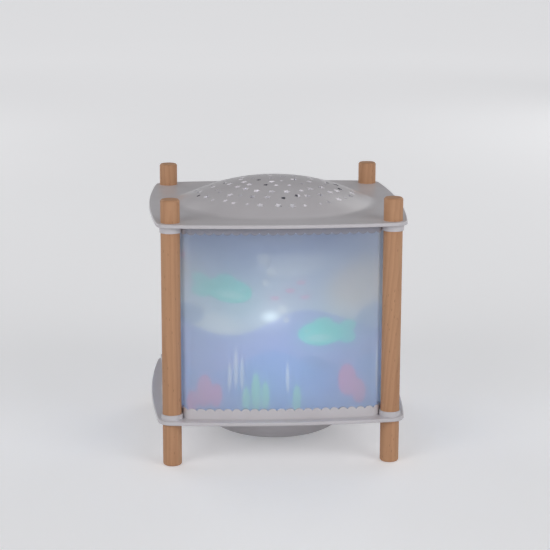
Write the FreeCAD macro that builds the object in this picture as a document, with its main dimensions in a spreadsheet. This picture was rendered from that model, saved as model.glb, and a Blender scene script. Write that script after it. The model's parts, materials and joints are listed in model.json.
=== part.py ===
import FreeCAD, Part
import math
import os
import random
import re
import Sketcher

from FreeCAD import Placement, Rotation, Vector

# A table lamp whose printed drum turns in the bulb's warm air behind a translucent screen.
# The origin is the centre of the feet on the floor, +Z is up and the front looks along -Y.

# Driving sizes in millimetres and degrees, and the counts of what repeats
SIZES = [
    ("dowel_diameter", 12.0, "feet, posts and finials"),
    ("post_spacing", 138.6, "from one post's axis to the next"),
    ("foot_length", 28.0, "floor to the base plate's underside"),
    ("foot_rounding", 1.5, "lower edge of a foot"),
    ("finial_length", 14.4, "above the top plate"),
    ("finial_chamfer", 0.8, "upper edge of a finial"),
    ("plate_thickness", 2.5, "both plates and the dome"),
    ("plate_half_width", 82.5, "axis to the middle of a plate's bulging side"),
    ("plate_corner_radius", 9.0, "round each post's axis"),
    ("plate_edge_rounding", 0.8, "upper and lower edges of both plates"),
    ("plates_gap", 123.7, "between the plates"),
    ("collar_wall", 0.7, "collars that the posts stand in"),
    ("lower_collar_height", 3.3, "on the base plate"),
    ("upper_collar_height", 3.7, "under the top plate"),
    ("collar_fit", 0.08, "radial gap between post and collar"),
    ("dome_foot_radius", 65.5, "where the dome's sphere would meet the plate"),
    ("dome_rise", 16.4, "apex above the plate"),
    ("dome_foot_fillet", 12.0, "hollow curve from the dome to the plate"),
    ("screen_half_width", 74.7, "axis to the middle of the film's outer face"),
    ("screen_bulge", 3.3, "how far the film bows out between its bends"),
    ("screen_bend_radius", 6.0, "outer bend beside each post"),
    ("notch_half_width", 61.7, "axis to the film's step round a post"),
    ("notch_fillet", 3.0, "inner bend of the step"),
    ("film_thickness", 0.5, "screen film"),
    ("film_end_gap", 0.2, "film to each plate"),
    ("band_wall", 0.9, "scalloped bands"),
    ("band_clearance", 0.25, "film to the bands and the rib"),
    ("lower_band_height", 6.9, "plate to the scallops' tips"),
    ("upper_band_height", 5.2, "plate to the scallops' tips"),
    ("scallop_pitch", 5.6, "from one scallop to the next"),
    ("scallop_depth", 1.7, "tip to valley"),
    ("scallop_flat", 0.14, "half of the level stretch at a scallop's tip"),
    ("rib_wall", 0.8, "rib inside the film's foot"),
    ("rib_height", 3.0, "rib inside the film's foot"),
    ("piercing_start", 5.0, "axis to the first ring of the dome's cut-outs"),
    ("piercing_reach", 54.5, "axis to the outermost cut-outs"),
    ("piercing_spacing", 9.2, "between the dome's cut-outs"),
    ("piercing_scatter", 1.6, "how far a cut-out may stand off its place"),
    ("star_width", 5.0, "across the points"),
    ("small_star_width", 3.8, "across the points"),
    ("star_notch_depth", 1.15, "from a star's points in to its notches"),
    ("dot_diameter", 2.4, "round cut-outs"),
    ("bowl_radius", 55.0, "outside at the rim"),
    ("bowl_depth", 24.0, "rim to the flat bottom"),
    ("bowl_flat_radius", 27.0, "flat bottom"),
    ("bowl_wall", 2.0, "bowl"),
    ("bowl_mouth_radius", 38.0, "air opening in the base plate"),
    ("vent_count", 12, "slots in the bowl's bottom"),
    ("vent_start", 22.0, "axis to the inner end of a slot"),
    ("vent_length", 11.0, "along the radius"),
    ("vent_width", 3.0, "across the slot"),
    ("bowl_screw_circle", 46.0, "radius of the bowl's screws"),
    ("bowl_boss_diameter", 8.0, "posts for the bowl's screws"),
    ("bowl_screw_grip", 10.0, "screw length in a boss"),
    ("screw_diameter", 3.0, "all small screws"),
    ("screw_head_diameter", 6.0, "all small screws"),
    ("screw_head_height", 2.0, "all small screws"),
    ("screw_head_rounding", 0.5, "edge of the head"),
    ("screw_point_chamfer", 0.75, "end of the thread"),
    ("screw_drive_width", 1.6, "recess across the head"),
    ("screw_drive_depth", 1.0, "recess in the head"),
    ("screw_hole_gap", 0.15, "radial gap where a screw passes through"),
    ("bore_fit", 0.05, "radial gap where a screw, stud or wire is held"),
    ("bore_end_gap", 0.3, "left under a screw or stud"),
    ("finial_screw_grip", 9.0, "screw length in a finial"),
    ("head_recess_gap", 0.5, "round a screw head in the post's end"),
    ("stud_diameter", 4.0, "joins foot and post"),
    ("stud_grip", 12.0, "stud length in a foot or a post"),
    ("stud_chamfer", 1.0, "both ends of a stud"),
    ("holder_radius", 11.5, "lampholder's barrel"),
    ("holder_length", 30.0, "bowl's floor to the barrel's rim"),
    ("holder_flange_radius", 20.0, "lampholder's foot"),
    ("holder_flange_thickness", 4.0, "lampholder's foot"),
    ("holder_screw_circle", 16.5, "radius of the lampholder's screws"),
    ("holder_screw_grip", 3.0, "screw length in the flange"),
    ("holder_well_floor", 5.0, "bowl's floor to the well's floor"),
    ("shell_wall", 0.7, "threaded metal shell"),
    ("shell_length", 16.0, "threaded metal shell"),
    ("spring_radius", 3.5, "contact spring"),
    ("spring_height", 3.7, "contact spring"),
    ("spring_foot_height", 0.9, "level part of the contact spring"),
    ("spring_top_radius", 1.75, "contact spring's end under the bulb"),
    ("thread_gap", 0.3, "bulb's cap to the shell, and its tip to the spring"),
    ("cap_radius", 6.9, "bulb's small screw cap"),
    ("cap_length", 25.0, "with its insulator"),
    ("cap_wall", 0.35, "skirt round the glass"),
    ("cap_skirt", 4.0, "how deep the glass sits in the cap"),
    ("insulator_height", 2.0, "cone under the cap"),
    ("contact_radius", 3.0, "bulb's centre contact"),
    ("contact_height", 2.0, "bulb's centre contact"),
    ("contact_face_radius", 1.5, "level face of the centre contact"),
    ("globe_diameter", 45.0, "bulb's glass"),
    ("globe_drop", 27.5, "cap's rim to the middle of the globe"),
    ("glass_wall", 0.8, "bulb's glass"),
    ("stem_height", 22.0, "glass stem inside the bulb"),
    ("stem_radius", 1.6, "glass stem inside the bulb"),
    ("stem_flare_height", 7.3, "wide foot of the stem"),
    ("stem_flare_gap", 1.1, "foot of the stem to the neck's inside"),
    ("filament_span", 14.0, "across the filament's arch"),
    ("filament_arch", 6.0, "rise of the arch"),
    ("filament_bend_radius", 1.5, "bends of the wire"),
    ("filament_wire", 0.4, "radius of the wires"),
    ("hoop_radius", 44.0, "wire hoop's arc and half its width"),
    ("hoop_leg", 61.0, "base plate to the start of the arc"),
    ("hoop_wire", 1.0, "radius of the hoop's wire"),
    ("hoop_boss_radius", 3.0, "sockets for the hoop's ends"),
    ("hoop_boss_height", 5.0, "sockets for the hoop's ends"),
    ("ferrule_radius", 2.5, "needle's brass holder"),
    ("ferrule_height", 5.0, "needle's brass holder"),
    ("ferrule_wire_gap", 0.15, "holder to the hoop's wire"),
    ("needle_radius", 0.8, "needle"),
    ("needle_length", 5.0, "above its holder"),
    ("needle_tip_radius", 0.2, "needle"),
    ("needle_taper", 2.4, "length of the point"),
    ("pivot_gap", 0.05, "needle's tip to the cup"),
    ("cup_radius", 4.0, "pivot cup"),
    ("cup_bore_radius", 1.6, "mouth of the cup"),
    ("cup_bore_depth", 3.0, "mouth to the seat of the tip"),
    ("cup_roof", 2.0, "metal above the tip"),
    ("cup_chamfer", 0.5, "upper edge of the cup"),
    ("cup_shoulder_width", 1.5, "ledge that the vane wheel sits on"),
    ("cup_shoulder_height", 1.0, "ledge that the vane wheel sits on"),
    ("drum_radius", 64.0, "outside of the printed film"),
    ("drum_film_thickness", 0.4, "printed film"),
    ("drum_height", 106.0, "printed film"),
    ("drum_ring_width", 2.0, "rings inside the film"),
    ("drum_ring_height", 4.0, "rings inside the film"),
    ("drum_ledge_width", 1.6, "ledge of the top ring under the vane wheel"),
    ("drum_ledge_height", 1.0, "ledge of the top ring under the vane wheel"),
    ("drum_fit", 0.05, "gap between film, rings and vane wheel"),
    ("vane_count", 16, "vanes"),
    ("vane_tilt", 25.0, "degrees from level"),
    ("vane_thickness", 0.8, "vanes"),
    ("vane_root_width", 2.2, "at the hub"),
    ("vane_tip_width", 13.0, "at the rim"),
    ("wheel_hub_wall", 3.5, "vane wheel's hub"),
    ("wheel_rim_wall", 3.0, "vane wheel's rim"),
    ("wheel_height", 3.0, "hub and rim"),
    ("inlet_height", 19.0, "floor to the inlet's axis"),
    ("inlet_pad_radius", 7.0, "boss on the bowl"),
    ("inlet_pad_depth", 10.5, "boss on the bowl"),
    ("jack_radius", 4.0, "threaded barrel"),
    ("jack_length", 18.0, "threaded barrel behind the flange"),
    ("jack_flange_radius", 5.5, "inlet's flange"),
    ("jack_flange_thickness", 2.0, "inlet's flange"),
    ("jack_bore_radius", 2.75, "for the plug"),
    ("jack_bore_depth", 11.0, "for the plug"),
    ("jack_fit", 0.1, "barrel to the boss and the nut"),
    ("pin_radius", 1.05, "inlet's centre pin"),
    ("pin_seat", 3.0, "pin length in the jack's back wall"),
    ("pin_seat_radius", 0.8, "pin's end in the jack's back wall"),
    ("pin_setback", 1.0, "tip to the flange's face"),
    ("pin_chamfer", 0.525, "tip of the centre pin"),
    ("nut_width", 11.0, "across flats"),
    ("nut_thickness", 2.5, "inlet's nut"),
    ("lead_diameter", 1.6, "inner leads"),
    ("lead_start_spread", 2.2, "axis to a lead at the inlet"),
    ("lead_end_spread", 4.0, "axis to a lead at the lampholder"),
    ("lead_entry_depth", 4.0, "lead in the lampholder's flange"),
    ("lead_straight", 4.0, "first run out of the inlet"),
    ("lead_bend_radius", 4.0, "bends of the leads"),
]

LEFT, RIGHT = 1, -1
CORNERS = [("front_left", -1, -1), ("front_right", 1, -1), ("back_left", -1, 1), ("back_right", 1, 1)]
ALONG_Y = Rotation(Vector(1, 0, 0), -90)

# Degrees round the lamp's axis from +X
BOWL_SCREW_TURNS = (45, 135, 225, 315)
HOLDER_SCREW_TURNS = (0, 180)

# The scatter of the dome's cut-outs, and the share of them that are dots and small stars
PIERCING_SEED = 11
DOT_SHARE = 0.25
SMALL_STAR_SHARE = 0.35
STAR_POINTS = 5

doc = FreeCAD.newDocument("motion_lamp")
sheet = doc.addObject("Spreadsheet::Sheet", "Sizes")
for row, (alias, number, meaning) in enumerate(SIZES, start=1):
    sheet.set(f"A{row}", alias)
    sheet.set(f"B{row}", str(number))
    sheet.set(f"C{row}", meaning)
    sheet.setAlias(f"B{row}", alias)
doc.recompute()

nodes = []


def bound(text):
    """Point every named size in an expression at the spreadsheet."""
    return re.sub(r"\b[a-z]+(_[a-z]+)+\b", r"Sizes.\g<0>", text)


def size(text):
    """The number that an expression of named sizes has now."""
    return float(sheet.evalExpression(bound(text)))


def node(thing):
    """Keep an object as a sub-part under its own name."""
    thing.Label = thing.Name
    nodes.append(thing)
    return thing


def place(thing, at, turn=None):
    """Turn an object, then bind its place to three expressions."""
    if turn:
        thing.Placement = Placement(Vector(), turn)
    for axis, text in zip("xyz", at):
        thing.setExpression(f".Placement.Base.{axis}", bound(text))
    return thing


# Places and lengths that several pieces share, as expressions
POST_AT = "post_spacing / 2"
DOWEL_RADIUS = "dowel_diameter / 2"
BASE_TOP = "(foot_length + plate_thickness)"
LID_UNDER = f"({BASE_TOP} + plates_gap)"
LID_TOP = f"({LID_UNDER} + plate_thickness)"
BOWL_FLOOR = "(foot_length - bowl_depth + bowl_wall)"
HOLDER_RIM = f"({BOWL_FLOOR} + holder_length)"
SHELL_FOOT = f"({HOLDER_RIM} - shell_length)"
SHELL_RADIUS = "(cap_radius + thread_gap + shell_wall)"
SPRING_FOOT = f"({BOWL_FLOOR} + holder_well_floor)"
BULB_FOOT = f"({SPRING_FOOT} + spring_height + thread_gap)"
CAP_FOOT = f"({BULB_FOOT} + contact_height)"
CAP_RIM = f"({CAP_FOOT} + cap_length)"
NECK_RADIUS = "(cap_radius - cap_wall - bore_fit)"
NECK_FOOT = f"({CAP_RIM} - cap_skirt)"
GLOBE_AT = f"({CAP_RIM} + globe_drop)"
HOOP_MIDDLE = f"({BASE_TOP} + hoop_leg)"
HOOP_TOP = f"({HOOP_MIDDLE} + hoop_radius)"
FERRULE_TOP = f"({HOOP_TOP} + ferrule_height / 2)"
NEEDLE_TIP = f"({FERRULE_TOP} + needle_length)"
CUP_SEAT = f"({NEEDLE_TIP} + pivot_gap)"
CUP_FOOT = f"({CUP_SEAT} - cup_bore_depth)"
WHEEL_FOOT = f"({CUP_FOOT} + cup_shoulder_height)"
RING_RADIUS = "(drum_radius - drum_film_thickness - drum_fit)"
RING_BORE = f"({RING_RADIUS} - drum_ring_width)"
DRUM_TOP = f"({WHEEL_FOOT} - drum_ledge_height + drum_ring_height)"
DRUM_FOOT = f"({DRUM_TOP} - drum_height)"
PAD_INSIDE = "(bowl_radius - inlet_pad_depth)"
JACK_BACK = "(bowl_radius - jack_length)"


def arc_between(start, end, radius, side):
    """An arc of under half a turn, with its centre on the left or the right of the way."""
    chord = end - start
    reach = math.sqrt(max(radius ** 2 - (chord.Length / 2) ** 2, 0.0))
    across = Vector(-chord.y, chord.x, 0).normalize()
    centre = (start + end) * 0.5 + across * reach * side
    first, last = (start, end) if side == LEFT else (end, start)
    angles = [math.atan2(point.y - centre.y, point.x - centre.x) for point in (first, last)]
    return Part.ArcOfCircle(Part.Circle(centre, Vector(0, 0, 1), radius), *angles)


def hold(sketch, kind, edge, vertex, text, axis):
    """Fix one coordinate of a vertex, on the axis or at an expression's distance from it."""
    if text == "0":
        sketch.addConstraint(Sketcher.Constraint("PointOnObject", edge, vertex, axis))
        return
    number = sketch.addConstraint(Sketcher.Constraint(kind, -1, 1, edge, vertex, size(text)))
    sketch.setExpression(f"Constraints[{number}]", bound(text))


def outline(body, corners, plane):
    """A closed sketch through corners (x, y), each with a radius and a side where an arc leads on."""
    sketch = body.newObject("Sketcher::SketchObject", f"{body.Name}_outline")
    support = [feature for feature in body.Origin.OriginFeatures if feature.Role == plane][0]
    sketch.AttachmentSupport = (support, [""])
    sketch.MapMode = "FlatFace"
    points = [Vector(size(corner[0]), size(corner[1]), 0) for corner in corners]
    ends = []
    for corner, start, end in zip(corners, points, points[1:] + points[:1]):
        if len(corner) == 2:
            sketch.addGeometry(Part.LineSegment(start, end))
            ends.append((1, 2))
        else:
            sketch.addGeometry(arc_between(start, end, size(corner[2]), corner[3]))
            ends.append((1, 2) if corner[3] == LEFT else (2, 1))
    for edge, corner in enumerate(corners):
        following = (edge + 1) % len(corners)
        joint = Sketcher.Constraint("Coincident", edge, ends[edge][1], following, ends[following][0])
        sketch.addConstraint(joint)
        hold(sketch, "DistanceX", edge, ends[edge][0], corner[0], -2)
        hold(sketch, "DistanceY", edge, ends[edge][0], corner[1], -1)
        if len(corner) > 2:
            number = sketch.addConstraint(Sketcher.Constraint("Radius", edge, size(corner[2])))
            sketch.setExpression(f"Constraints[{number}]", bound(corner[2]))
    return sketch


def turned(name, corners, at=("0", "0", "0"), turn=None):
    """A body turned round its own upright axis from half of its outline."""
    body = doc.addObject("PartDesign::Body", name)
    sketch = outline(body, corners, "XZ_Plane")
    turning = body.newObject("PartDesign::Revolution", f"{name}_turning")
    turning.Profile = sketch
    turning.ReferenceAxis = (sketch, ["V_Axis"])
    turning.Angle = 360.0
    sketch.Visibility = False
    return place(body, at, turn)


def cylinder(name, radius, height, at, turn=None):
    thing = doc.addObject("Part::Cylinder", name)
    thing.setExpression("Radius", bound(radius))
    thing.setExpression("Height", bound(height))
    return place(thing, at, turn)


def fused(name, pieces):
    thing = doc.addObject("Part::MultiFuse", name)
    thing.Shapes = pieces
    thing.Refine = True
    return thing


def cut(name, base, tools):
    """A base with one or more tools taken from it."""
    thing = doc.addObject("Part::Cut", name)
    thing.Base = base
    thing.Tool = tools[0] if len(tools) == 1 else fused(f"{name}_tools", tools)
    return thing


def group(name, pieces):
    """Like pieces kept as separate solids in one sub-part."""
    thing = doc.addObject("Part::Compound", name)
    thing.Links = pieces
    return node(thing)


def shaped(name, shape):
    """A sub-part or a tool whose shape is worked out directly."""
    thing = doc.addObject("Part::Feature", name)
    thing.Shape = shape
    thing.Placement = Placement()
    return thing


def at_post(across, along):
    """The two expressions for a post's axis."""
    return f"{across} * {POST_AT}", f"{along} * {POST_AT}"


# Dowels
def foot(name, across, along):
    bore = "stud_diameter / 2 + bore_fit"
    bore_end = "foot_length - stud_grip - bore_end_gap"
    corners = [
        ("0", "0"),
        (f"{DOWEL_RADIUS} - foot_rounding", "0", "foot_rounding", LEFT),
        (DOWEL_RADIUS, "foot_rounding"),
        (DOWEL_RADIUS, "foot_length"),
        (bore, "foot_length"),
        (bore, bore_end),
        ("0", bore_end),
    ]
    node(turned(f"foot_{name}", corners, (*at_post(across, along), "0")))


def post(name, across, along):
    bore = "stud_diameter / 2 + bore_fit"
    bore_end = "stud_grip + bore_end_gap"
    recess = "screw_head_diameter / 2 + head_recess_gap"
    recess_end = "plates_gap - screw_head_height - head_recess_gap"
    corners = [
        (bore, "0"),
        (DOWEL_RADIUS, "0"),
        (DOWEL_RADIUS, "plates_gap"),
        (recess, "plates_gap"),
        (recess, recess_end),
        ("0", recess_end),
        ("0", bore_end),
        (bore, bore_end),
    ]
    node(turned(f"post_{name}", corners, (*at_post(across, along), BASE_TOP)))


def finial(name, across, along):
    bore = "screw_diameter / 2 + bore_fit"
    bore_end = "finial_screw_grip + bore_end_gap"
    corners = [
        (bore, "0"),
        (DOWEL_RADIUS, "0"),
        (DOWEL_RADIUS, "finial_length - finial_chamfer"),
        (f"{DOWEL_RADIUS} - finial_chamfer", "finial_length"),
        ("0", "finial_length"),
        ("0", bore_end),
        (bore, bore_end),
    ]
    node(turned(f"finial_{name}", corners, (*at_post(across, along), LID_TOP)))


# Fasteners
def screw(name, length, at, turn=None):
    """A pan-head screw with its head below and a square recess, standing on the head's rim."""
    radius = "screw_diameter / 2"
    head = "screw_head_diameter / 2"
    tip = f"screw_head_height + {length}"
    blank = turned(f"{name}_blank", [
        ("0", "0"),
        (f"{head} - screw_head_rounding", "0", "screw_head_rounding", LEFT),
        (head, "screw_head_rounding"),
        (head, "screw_head_height"),
        (radius, "screw_head_height"),
        (radius, f"{tip} - screw_point_chamfer"),
        (f"{radius} - screw_point_chamfer", tip),
        ("0", tip),
    ])
    drive = doc.addObject("Part::Box", f"{name}_drive")
    drive.setExpression("Length", bound("screw_drive_width"))
    drive.setExpression("Width", bound("screw_drive_width"))
    drive.setExpression("Height", bound("screw_drive_depth"))
    place(drive, ("-screw_drive_width / 2", "-screw_drive_width / 2", "0"))
    return place(cut(name, blank, [drive]), at, turn)


def finial_screws():
    head_foot = f"{LID_UNDER} - screw_head_height"
    length = "plate_thickness + finial_screw_grip"
    group("finial_screws", [
        screw(f"finial_screw_{name}", length, (*at_post(across, along), head_foot))
        for name, across, along in CORNERS
    ])


def post_studs():
    tip = "plate_thickness + 2 * stud_grip"
    radius = "stud_diameter / 2"
    corners = [
        ("0", "0"),
        (f"{radius} - stud_chamfer", "0"),
        (radius, "stud_chamfer"),
        (radius, f"{tip} - stud_chamfer"),
        (f"{radius} - stud_chamfer", tip),
        ("0", tip),
    ]
    group("post_studs", [
        turned(f"post_stud_{name}", corners, (*at_post(across, along), "foot_length - stud_grip"))
        for name, across, along in CORNERS
    ])


def on_circle(radius, degrees):
    """Two expressions for a place on a circle round the lamp's axis."""
    return f"{radius} * cos({degrees})", f"{radius} * sin({degrees})"


def bowl_screws():
    upside_down = Rotation(Vector(1, 0, 0), 180)
    head_top = f"{BASE_TOP} + screw_head_height"
    length = "plate_thickness + bowl_screw_grip"
    group("bowl_screws", [
        screw(f"bowl_screw_{turn}", length, (*on_circle("bowl_screw_circle", turn), head_top), upside_down)
        for turn in BOWL_SCREW_TURNS
    ])


def holder_screws():
    head_foot = f"{BOWL_FLOOR} - bowl_wall - screw_head_height"
    group("lampholder_screws", [
        screw(f"lampholder_screw_{turn}", "bowl_wall + holder_screw_grip",
              (*on_circle("holder_screw_circle", turn), head_foot))
        for turn in HOLDER_SCREW_TURNS
    ])


# Plates
def plate(name, foot_at):
    """A square plate with bulging sides, its corners round the posts' axes."""
    reach = "(plate_half_width - plate_corner_radius)"
    away = f"((2 * ({POST_AT})^2 - {reach}^2) / (2 * ({reach} - {POST_AT})))"
    bulge = f"({away} + plate_half_width)"
    share = f"(plate_corner_radius / ({bulge} - plate_corner_radius))"
    near = f"({POST_AT} * (1 + {share}))"
    far = f"({POST_AT} + ({POST_AT} + {away}) * {share})"
    body = doc.addObject("PartDesign::Body", name)
    corners = []
    for cosine, sine in ((1, 0), (0, 1), (-1, 0), (0, -1)):
        for x, y, radius in ((near, far, "plate_corner_radius"), (far, near, bulge)):
            across = f"{cosine} * {x} + {sine} * {y}"
            along = f"{sine} * {x} - {cosine} * {y}"
            corners.append((across, along, radius, LEFT))
    sketch = outline(body, corners, "XY_Plane")
    pad = body.newObject("PartDesign::Pad", f"{name}_pad")
    pad.Profile = sketch
    pad.setExpression("Length", bound("plate_thickness"))
    sketch.Visibility = False
    doc.recompute()
    level = [f"Edge{number}" for number, edge in enumerate(pad.Shape.Edges, start=1)
             if abs(edge.BoundBox.ZLength) < size("plate_thickness") / 2]
    rounding = body.newObject("PartDesign::Fillet", f"{name}_rounding")
    rounding.Base = (pad, level)
    rounding.setExpression("Radius", bound("plate_edge_rounding"))
    body.Tip = rounding
    return place(body, ("0", "0", foot_at))


def collar(name, across, along, foot_at, height):
    """A solid collar, whose bore is cut with the plate's other holes."""
    radius = f"{DOWEL_RADIUS} + collar_fit + collar_wall"
    return cylinder(name, radius, height, (*at_post(across, along), foot_at))


def screen_wire(out, height):
    """The screen's outline in plan, out by so much from the film's outer face."""
    step = size("notch_half_width")
    bend = size("screen_bend_radius")
    fillet = size("notch_fillet")
    chord = step - bend
    bow = size("screen_bulge")
    bulge = (chord ** 2 + bow ** 2) / (2 * bow)
    away = bulge - size("screen_half_width")
    bend_at = math.sqrt((bulge - bend) ** 2 - chord ** 2) - away
    fillet_at = step + fillet
    lean = math.asin(chord / (bulge - bend))
    edges = []
    for turn in range(4):
        rotation = Rotation(Vector(0, 0, 1), 90 * turn)

        def point(x, y):
            return rotation.multVec(Vector(x, y, height))

        def round_a(x, y, radius, degrees):
            angle = math.radians(degrees)
            return point(x + radius * math.cos(angle), y + radius * math.sin(angle))

        tilt = math.degrees(lean)
        left, right = -90 - tilt, -90 + tilt
        centre = (0, away)
        edges.append(Part.Arc(*[round_a(*centre, bulge + out, a) for a in (left, -90, right)]).toShape())
        corner = (chord, -bend_at)
        edges.append(Part.Arc(*[round_a(*corner, bend + out, a) for a in (right, right / 2, 0)]).toShape())
        edges.append(Part.makeLine(point(step + out, -bend_at), point(step + out, -fillet_at)))
        inner = (fillet_at, -fillet_at)
        edges.append(Part.Arc(*[round_a(*inner, fillet - out, a) for a in (180, 135, 90)]).toShape())
        edges.append(Part.makeLine(point(fillet_at, -step - out), point(bend_at, -step - out)))
        corner = (bend_at, -chord)
        last = -tilt
        edges.append(Part.Arc(*[round_a(*corner, bend + out, a)
                                for a in (-90, (last - 90) / 2, last)]).toShape())
    return Part.Wire(edges)


def screen_ring(outside, inside, low, high):
    """A wall that follows the screen's outline between two offsets."""
    face = Part.Face([screen_wire(outside, low), screen_wire(inside, low)])
    face.validate()
    return face.extrude(Vector(0, 0, high - low))


def cusp(point, along, tip, way):
    """What is cut away between two scallops, at a place on the band; way is 1 for scallops that stand up."""
    half = size("scallop_pitch") / 2
    depth = size("scallop_depth")
    radius = (half ** 2 + depth ** 2) / (2 * depth)
    flat = size("scallop_flat")
    middle = math.asin((half / 2) / radius)
    outward = along.cross(Vector(0, 0, 1))
    wall = 2 * size("band_wall")

    def at(x, z):
        return point + along * x + Vector(0, 0, way * z) - outward * wall + Vector(0, 0, tip)

    def lobe(side, x):
        return at(side * x, math.sqrt(radius ** 2 - (half - x) ** 2) - radius)

    edges = [
        Part.Arc(lobe(-1, half - flat), lobe(-1, half - radius * math.sin(middle)), lobe(-1, 0)).toShape(),
        Part.Arc(lobe(1, 0), lobe(1, half - radius * math.sin(middle)), lobe(1, half - flat)).toShape(),
    ]
    edges.append(Part.makeLine(lobe(1, half - flat), at(half - flat, depth)))
    edges.append(Part.makeLine(at(half - flat, depth), at(flat - half, depth)))
    edges.append(Part.makeLine(at(flat - half, depth), lobe(-1, half - flat)))
    return Part.Face(Part.Wire(edges)).extrude(outward * 2 * wall)


def scalloped_band(root, way, height):
    """A band round the film with a row of scallops; it starts at root and goes up or down."""
    near = size("band_clearance")
    far = near + size("band_wall")
    tip = root + way * height
    band = screen_ring(far, near, min(root, tip), max(root, tip))
    middle = screen_wire((near + far) / 2, 0)
    count = round(middle.Length / size("scallop_pitch"))
    stops = middle.discretize(Number=4 * count + 1)
    cusps = []
    for number in range(count):
        before, here, after = stops[4 * number + 1], stops[4 * number + 2], stops[4 * number + 3]
        cusps.append(cusp(here, (after - before).normalize(), tip, way))
    return band.cut(cusps)


def base_plate():
    pieces = [plate("base_plate_sheet", "foot_length")]
    for name, across, along in CORNERS:
        pieces.append(collar(f"base_collar_{name}", across, along, BASE_TOP, "lower_collar_height"))
    root = size(BASE_TOP)
    pieces.append(shaped("base_band", scalloped_band(root, 1, size("lower_band_height"))))
    rib = -size("film_thickness") - size("band_clearance")
    rib_top = root + size("rib_height")
    pieces.append(shaped("base_rib", screen_ring(rib, rib - size("rib_wall"), root, rib_top)))
    for name, way in (("left", -1), ("right", 1)):
        at = (f"{way} * hoop_radius", "0", BASE_TOP)
        pieces.append(cylinder(f"hoop_boss_{name}", "hoop_boss_radius", "hoop_boss_height", at))
    tools = [cylinder("base_mouth", "bowl_mouth_radius", "2 * plate_thickness",
                      ("0", "0", "foot_length - plate_thickness / 2"))]
    for name, across, along in CORNERS:
        at = at_post(across, along)
        bore = f"{DOWEL_RADIUS} + collar_fit"
        tools.append(cylinder(f"base_collar_bore_{name}", bore, "2 * lower_collar_height", (*at, BASE_TOP)))
        tools.append(cylinder(f"base_stud_hole_{name}", "stud_diameter / 2 + screw_hole_gap",
                              "2 * plate_thickness", (*at, "foot_length - plate_thickness / 2")))
    for name, way in (("left", -1), ("right", 1)):
        at = (f"{way} * hoop_radius", "0", BASE_TOP)
        tools.append(cylinder(f"hoop_bore_{name}", "hoop_wire + bore_fit", "2 * hoop_boss_height", at))
    for turn in BOWL_SCREW_TURNS:
        at = (*on_circle("bowl_screw_circle", turn), "foot_length - plate_thickness / 2")
        tools.append(cylinder(f"base_screw_hole_{turn}", "screw_diameter / 2 + screw_hole_gap",
                              "2 * plate_thickness", at))
    node(cut("base_plate", fused("base_plate_moulding", pieces), tools))


def dome():
    """The dome and its hollow foot, turned as one wall that runs on into the plate."""
    sphere = "((dome_foot_radius^2 + dome_rise^2) / (2 * dome_rise))"
    fillet = "dome_foot_fillet"
    foot_at = f"sqrt(dome_rise * (2 * ({sphere} + {fillet}) - dome_rise))"
    share = f"({sphere} / ({sphere} + {fillet}))"
    inner_share = f"(({sphere} - plate_thickness) / ({sphere} + {fillet}))"
    rise = f"({fillet} + {sphere} - dome_rise)"
    drop = f"({LID_TOP} + dome_rise - {sphere})"
    corners = [
        (foot_at, LID_UNDER),
        (foot_at, LID_TOP, fillet, RIGHT),
        (f"{foot_at} * {share}", f"{drop} + {rise} * {share}", sphere, LEFT),
        ("0", f"{LID_TOP} + dome_rise"),
        ("0", f"{LID_UNDER} + dome_rise", f"{sphere} - plate_thickness", RIGHT),
        (f"{foot_at} * {inner_share}", f"{drop} + {rise} * {inner_share}",
         f"{fillet} + plate_thickness", LEFT),
    ]
    return turned("dome_wall", corners), foot_at


def star(centre, width, turn):
    """A pointed star as a flat face."""
    notch = width / 2 - size("star_notch_depth") * width / size("star_width")
    points = []
    for number in range(2 * STAR_POINTS):
        radius = width / 2 if number % 2 == 0 else notch
        angle = turn + math.pi * number / STAR_POINTS
        points.append(centre + Vector(radius * math.cos(angle), radius * math.sin(angle), 0))
    return Part.Face(Part.makePolygon(points + points[:1]))


def piercings():
    """Stars and dots scattered over the dome in uneven rings, cut straight down."""
    draw = random.Random(PIERCING_SEED)
    spacing = size("piercing_spacing")
    scatter = size("piercing_scatter")
    reach = size("piercing_reach")
    low = size(LID_UNDER)
    deep = size("plate_thickness + dome_rise + plate_thickness")
    tools = []
    radius = size("piercing_start")
    while radius < reach:
        count = round(2 * math.pi * radius / spacing)
        for number in range(count):
            angle = 2 * math.pi * number / count + draw.uniform(-scatter, scatter) / radius
            out = min(radius + draw.uniform(-scatter, scatter), reach)
            centre = Vector(out * math.cos(angle), out * math.sin(angle), low)
            kind = draw.random()
            if kind < DOT_SHARE:
                face = Part.Face(Part.Wire(Part.makeCircle(size("dot_diameter") / 2, centre)))
            else:
                small = kind < DOT_SHARE + SMALL_STAR_SHARE
                width = size("small_star_width" if small else "star_width")
                face = star(centre, width, draw.uniform(0, math.pi))
            tools.append(face.extrude(Vector(0, 0, deep)))
        radius += spacing
    return Part.makeCompound(tools)


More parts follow.
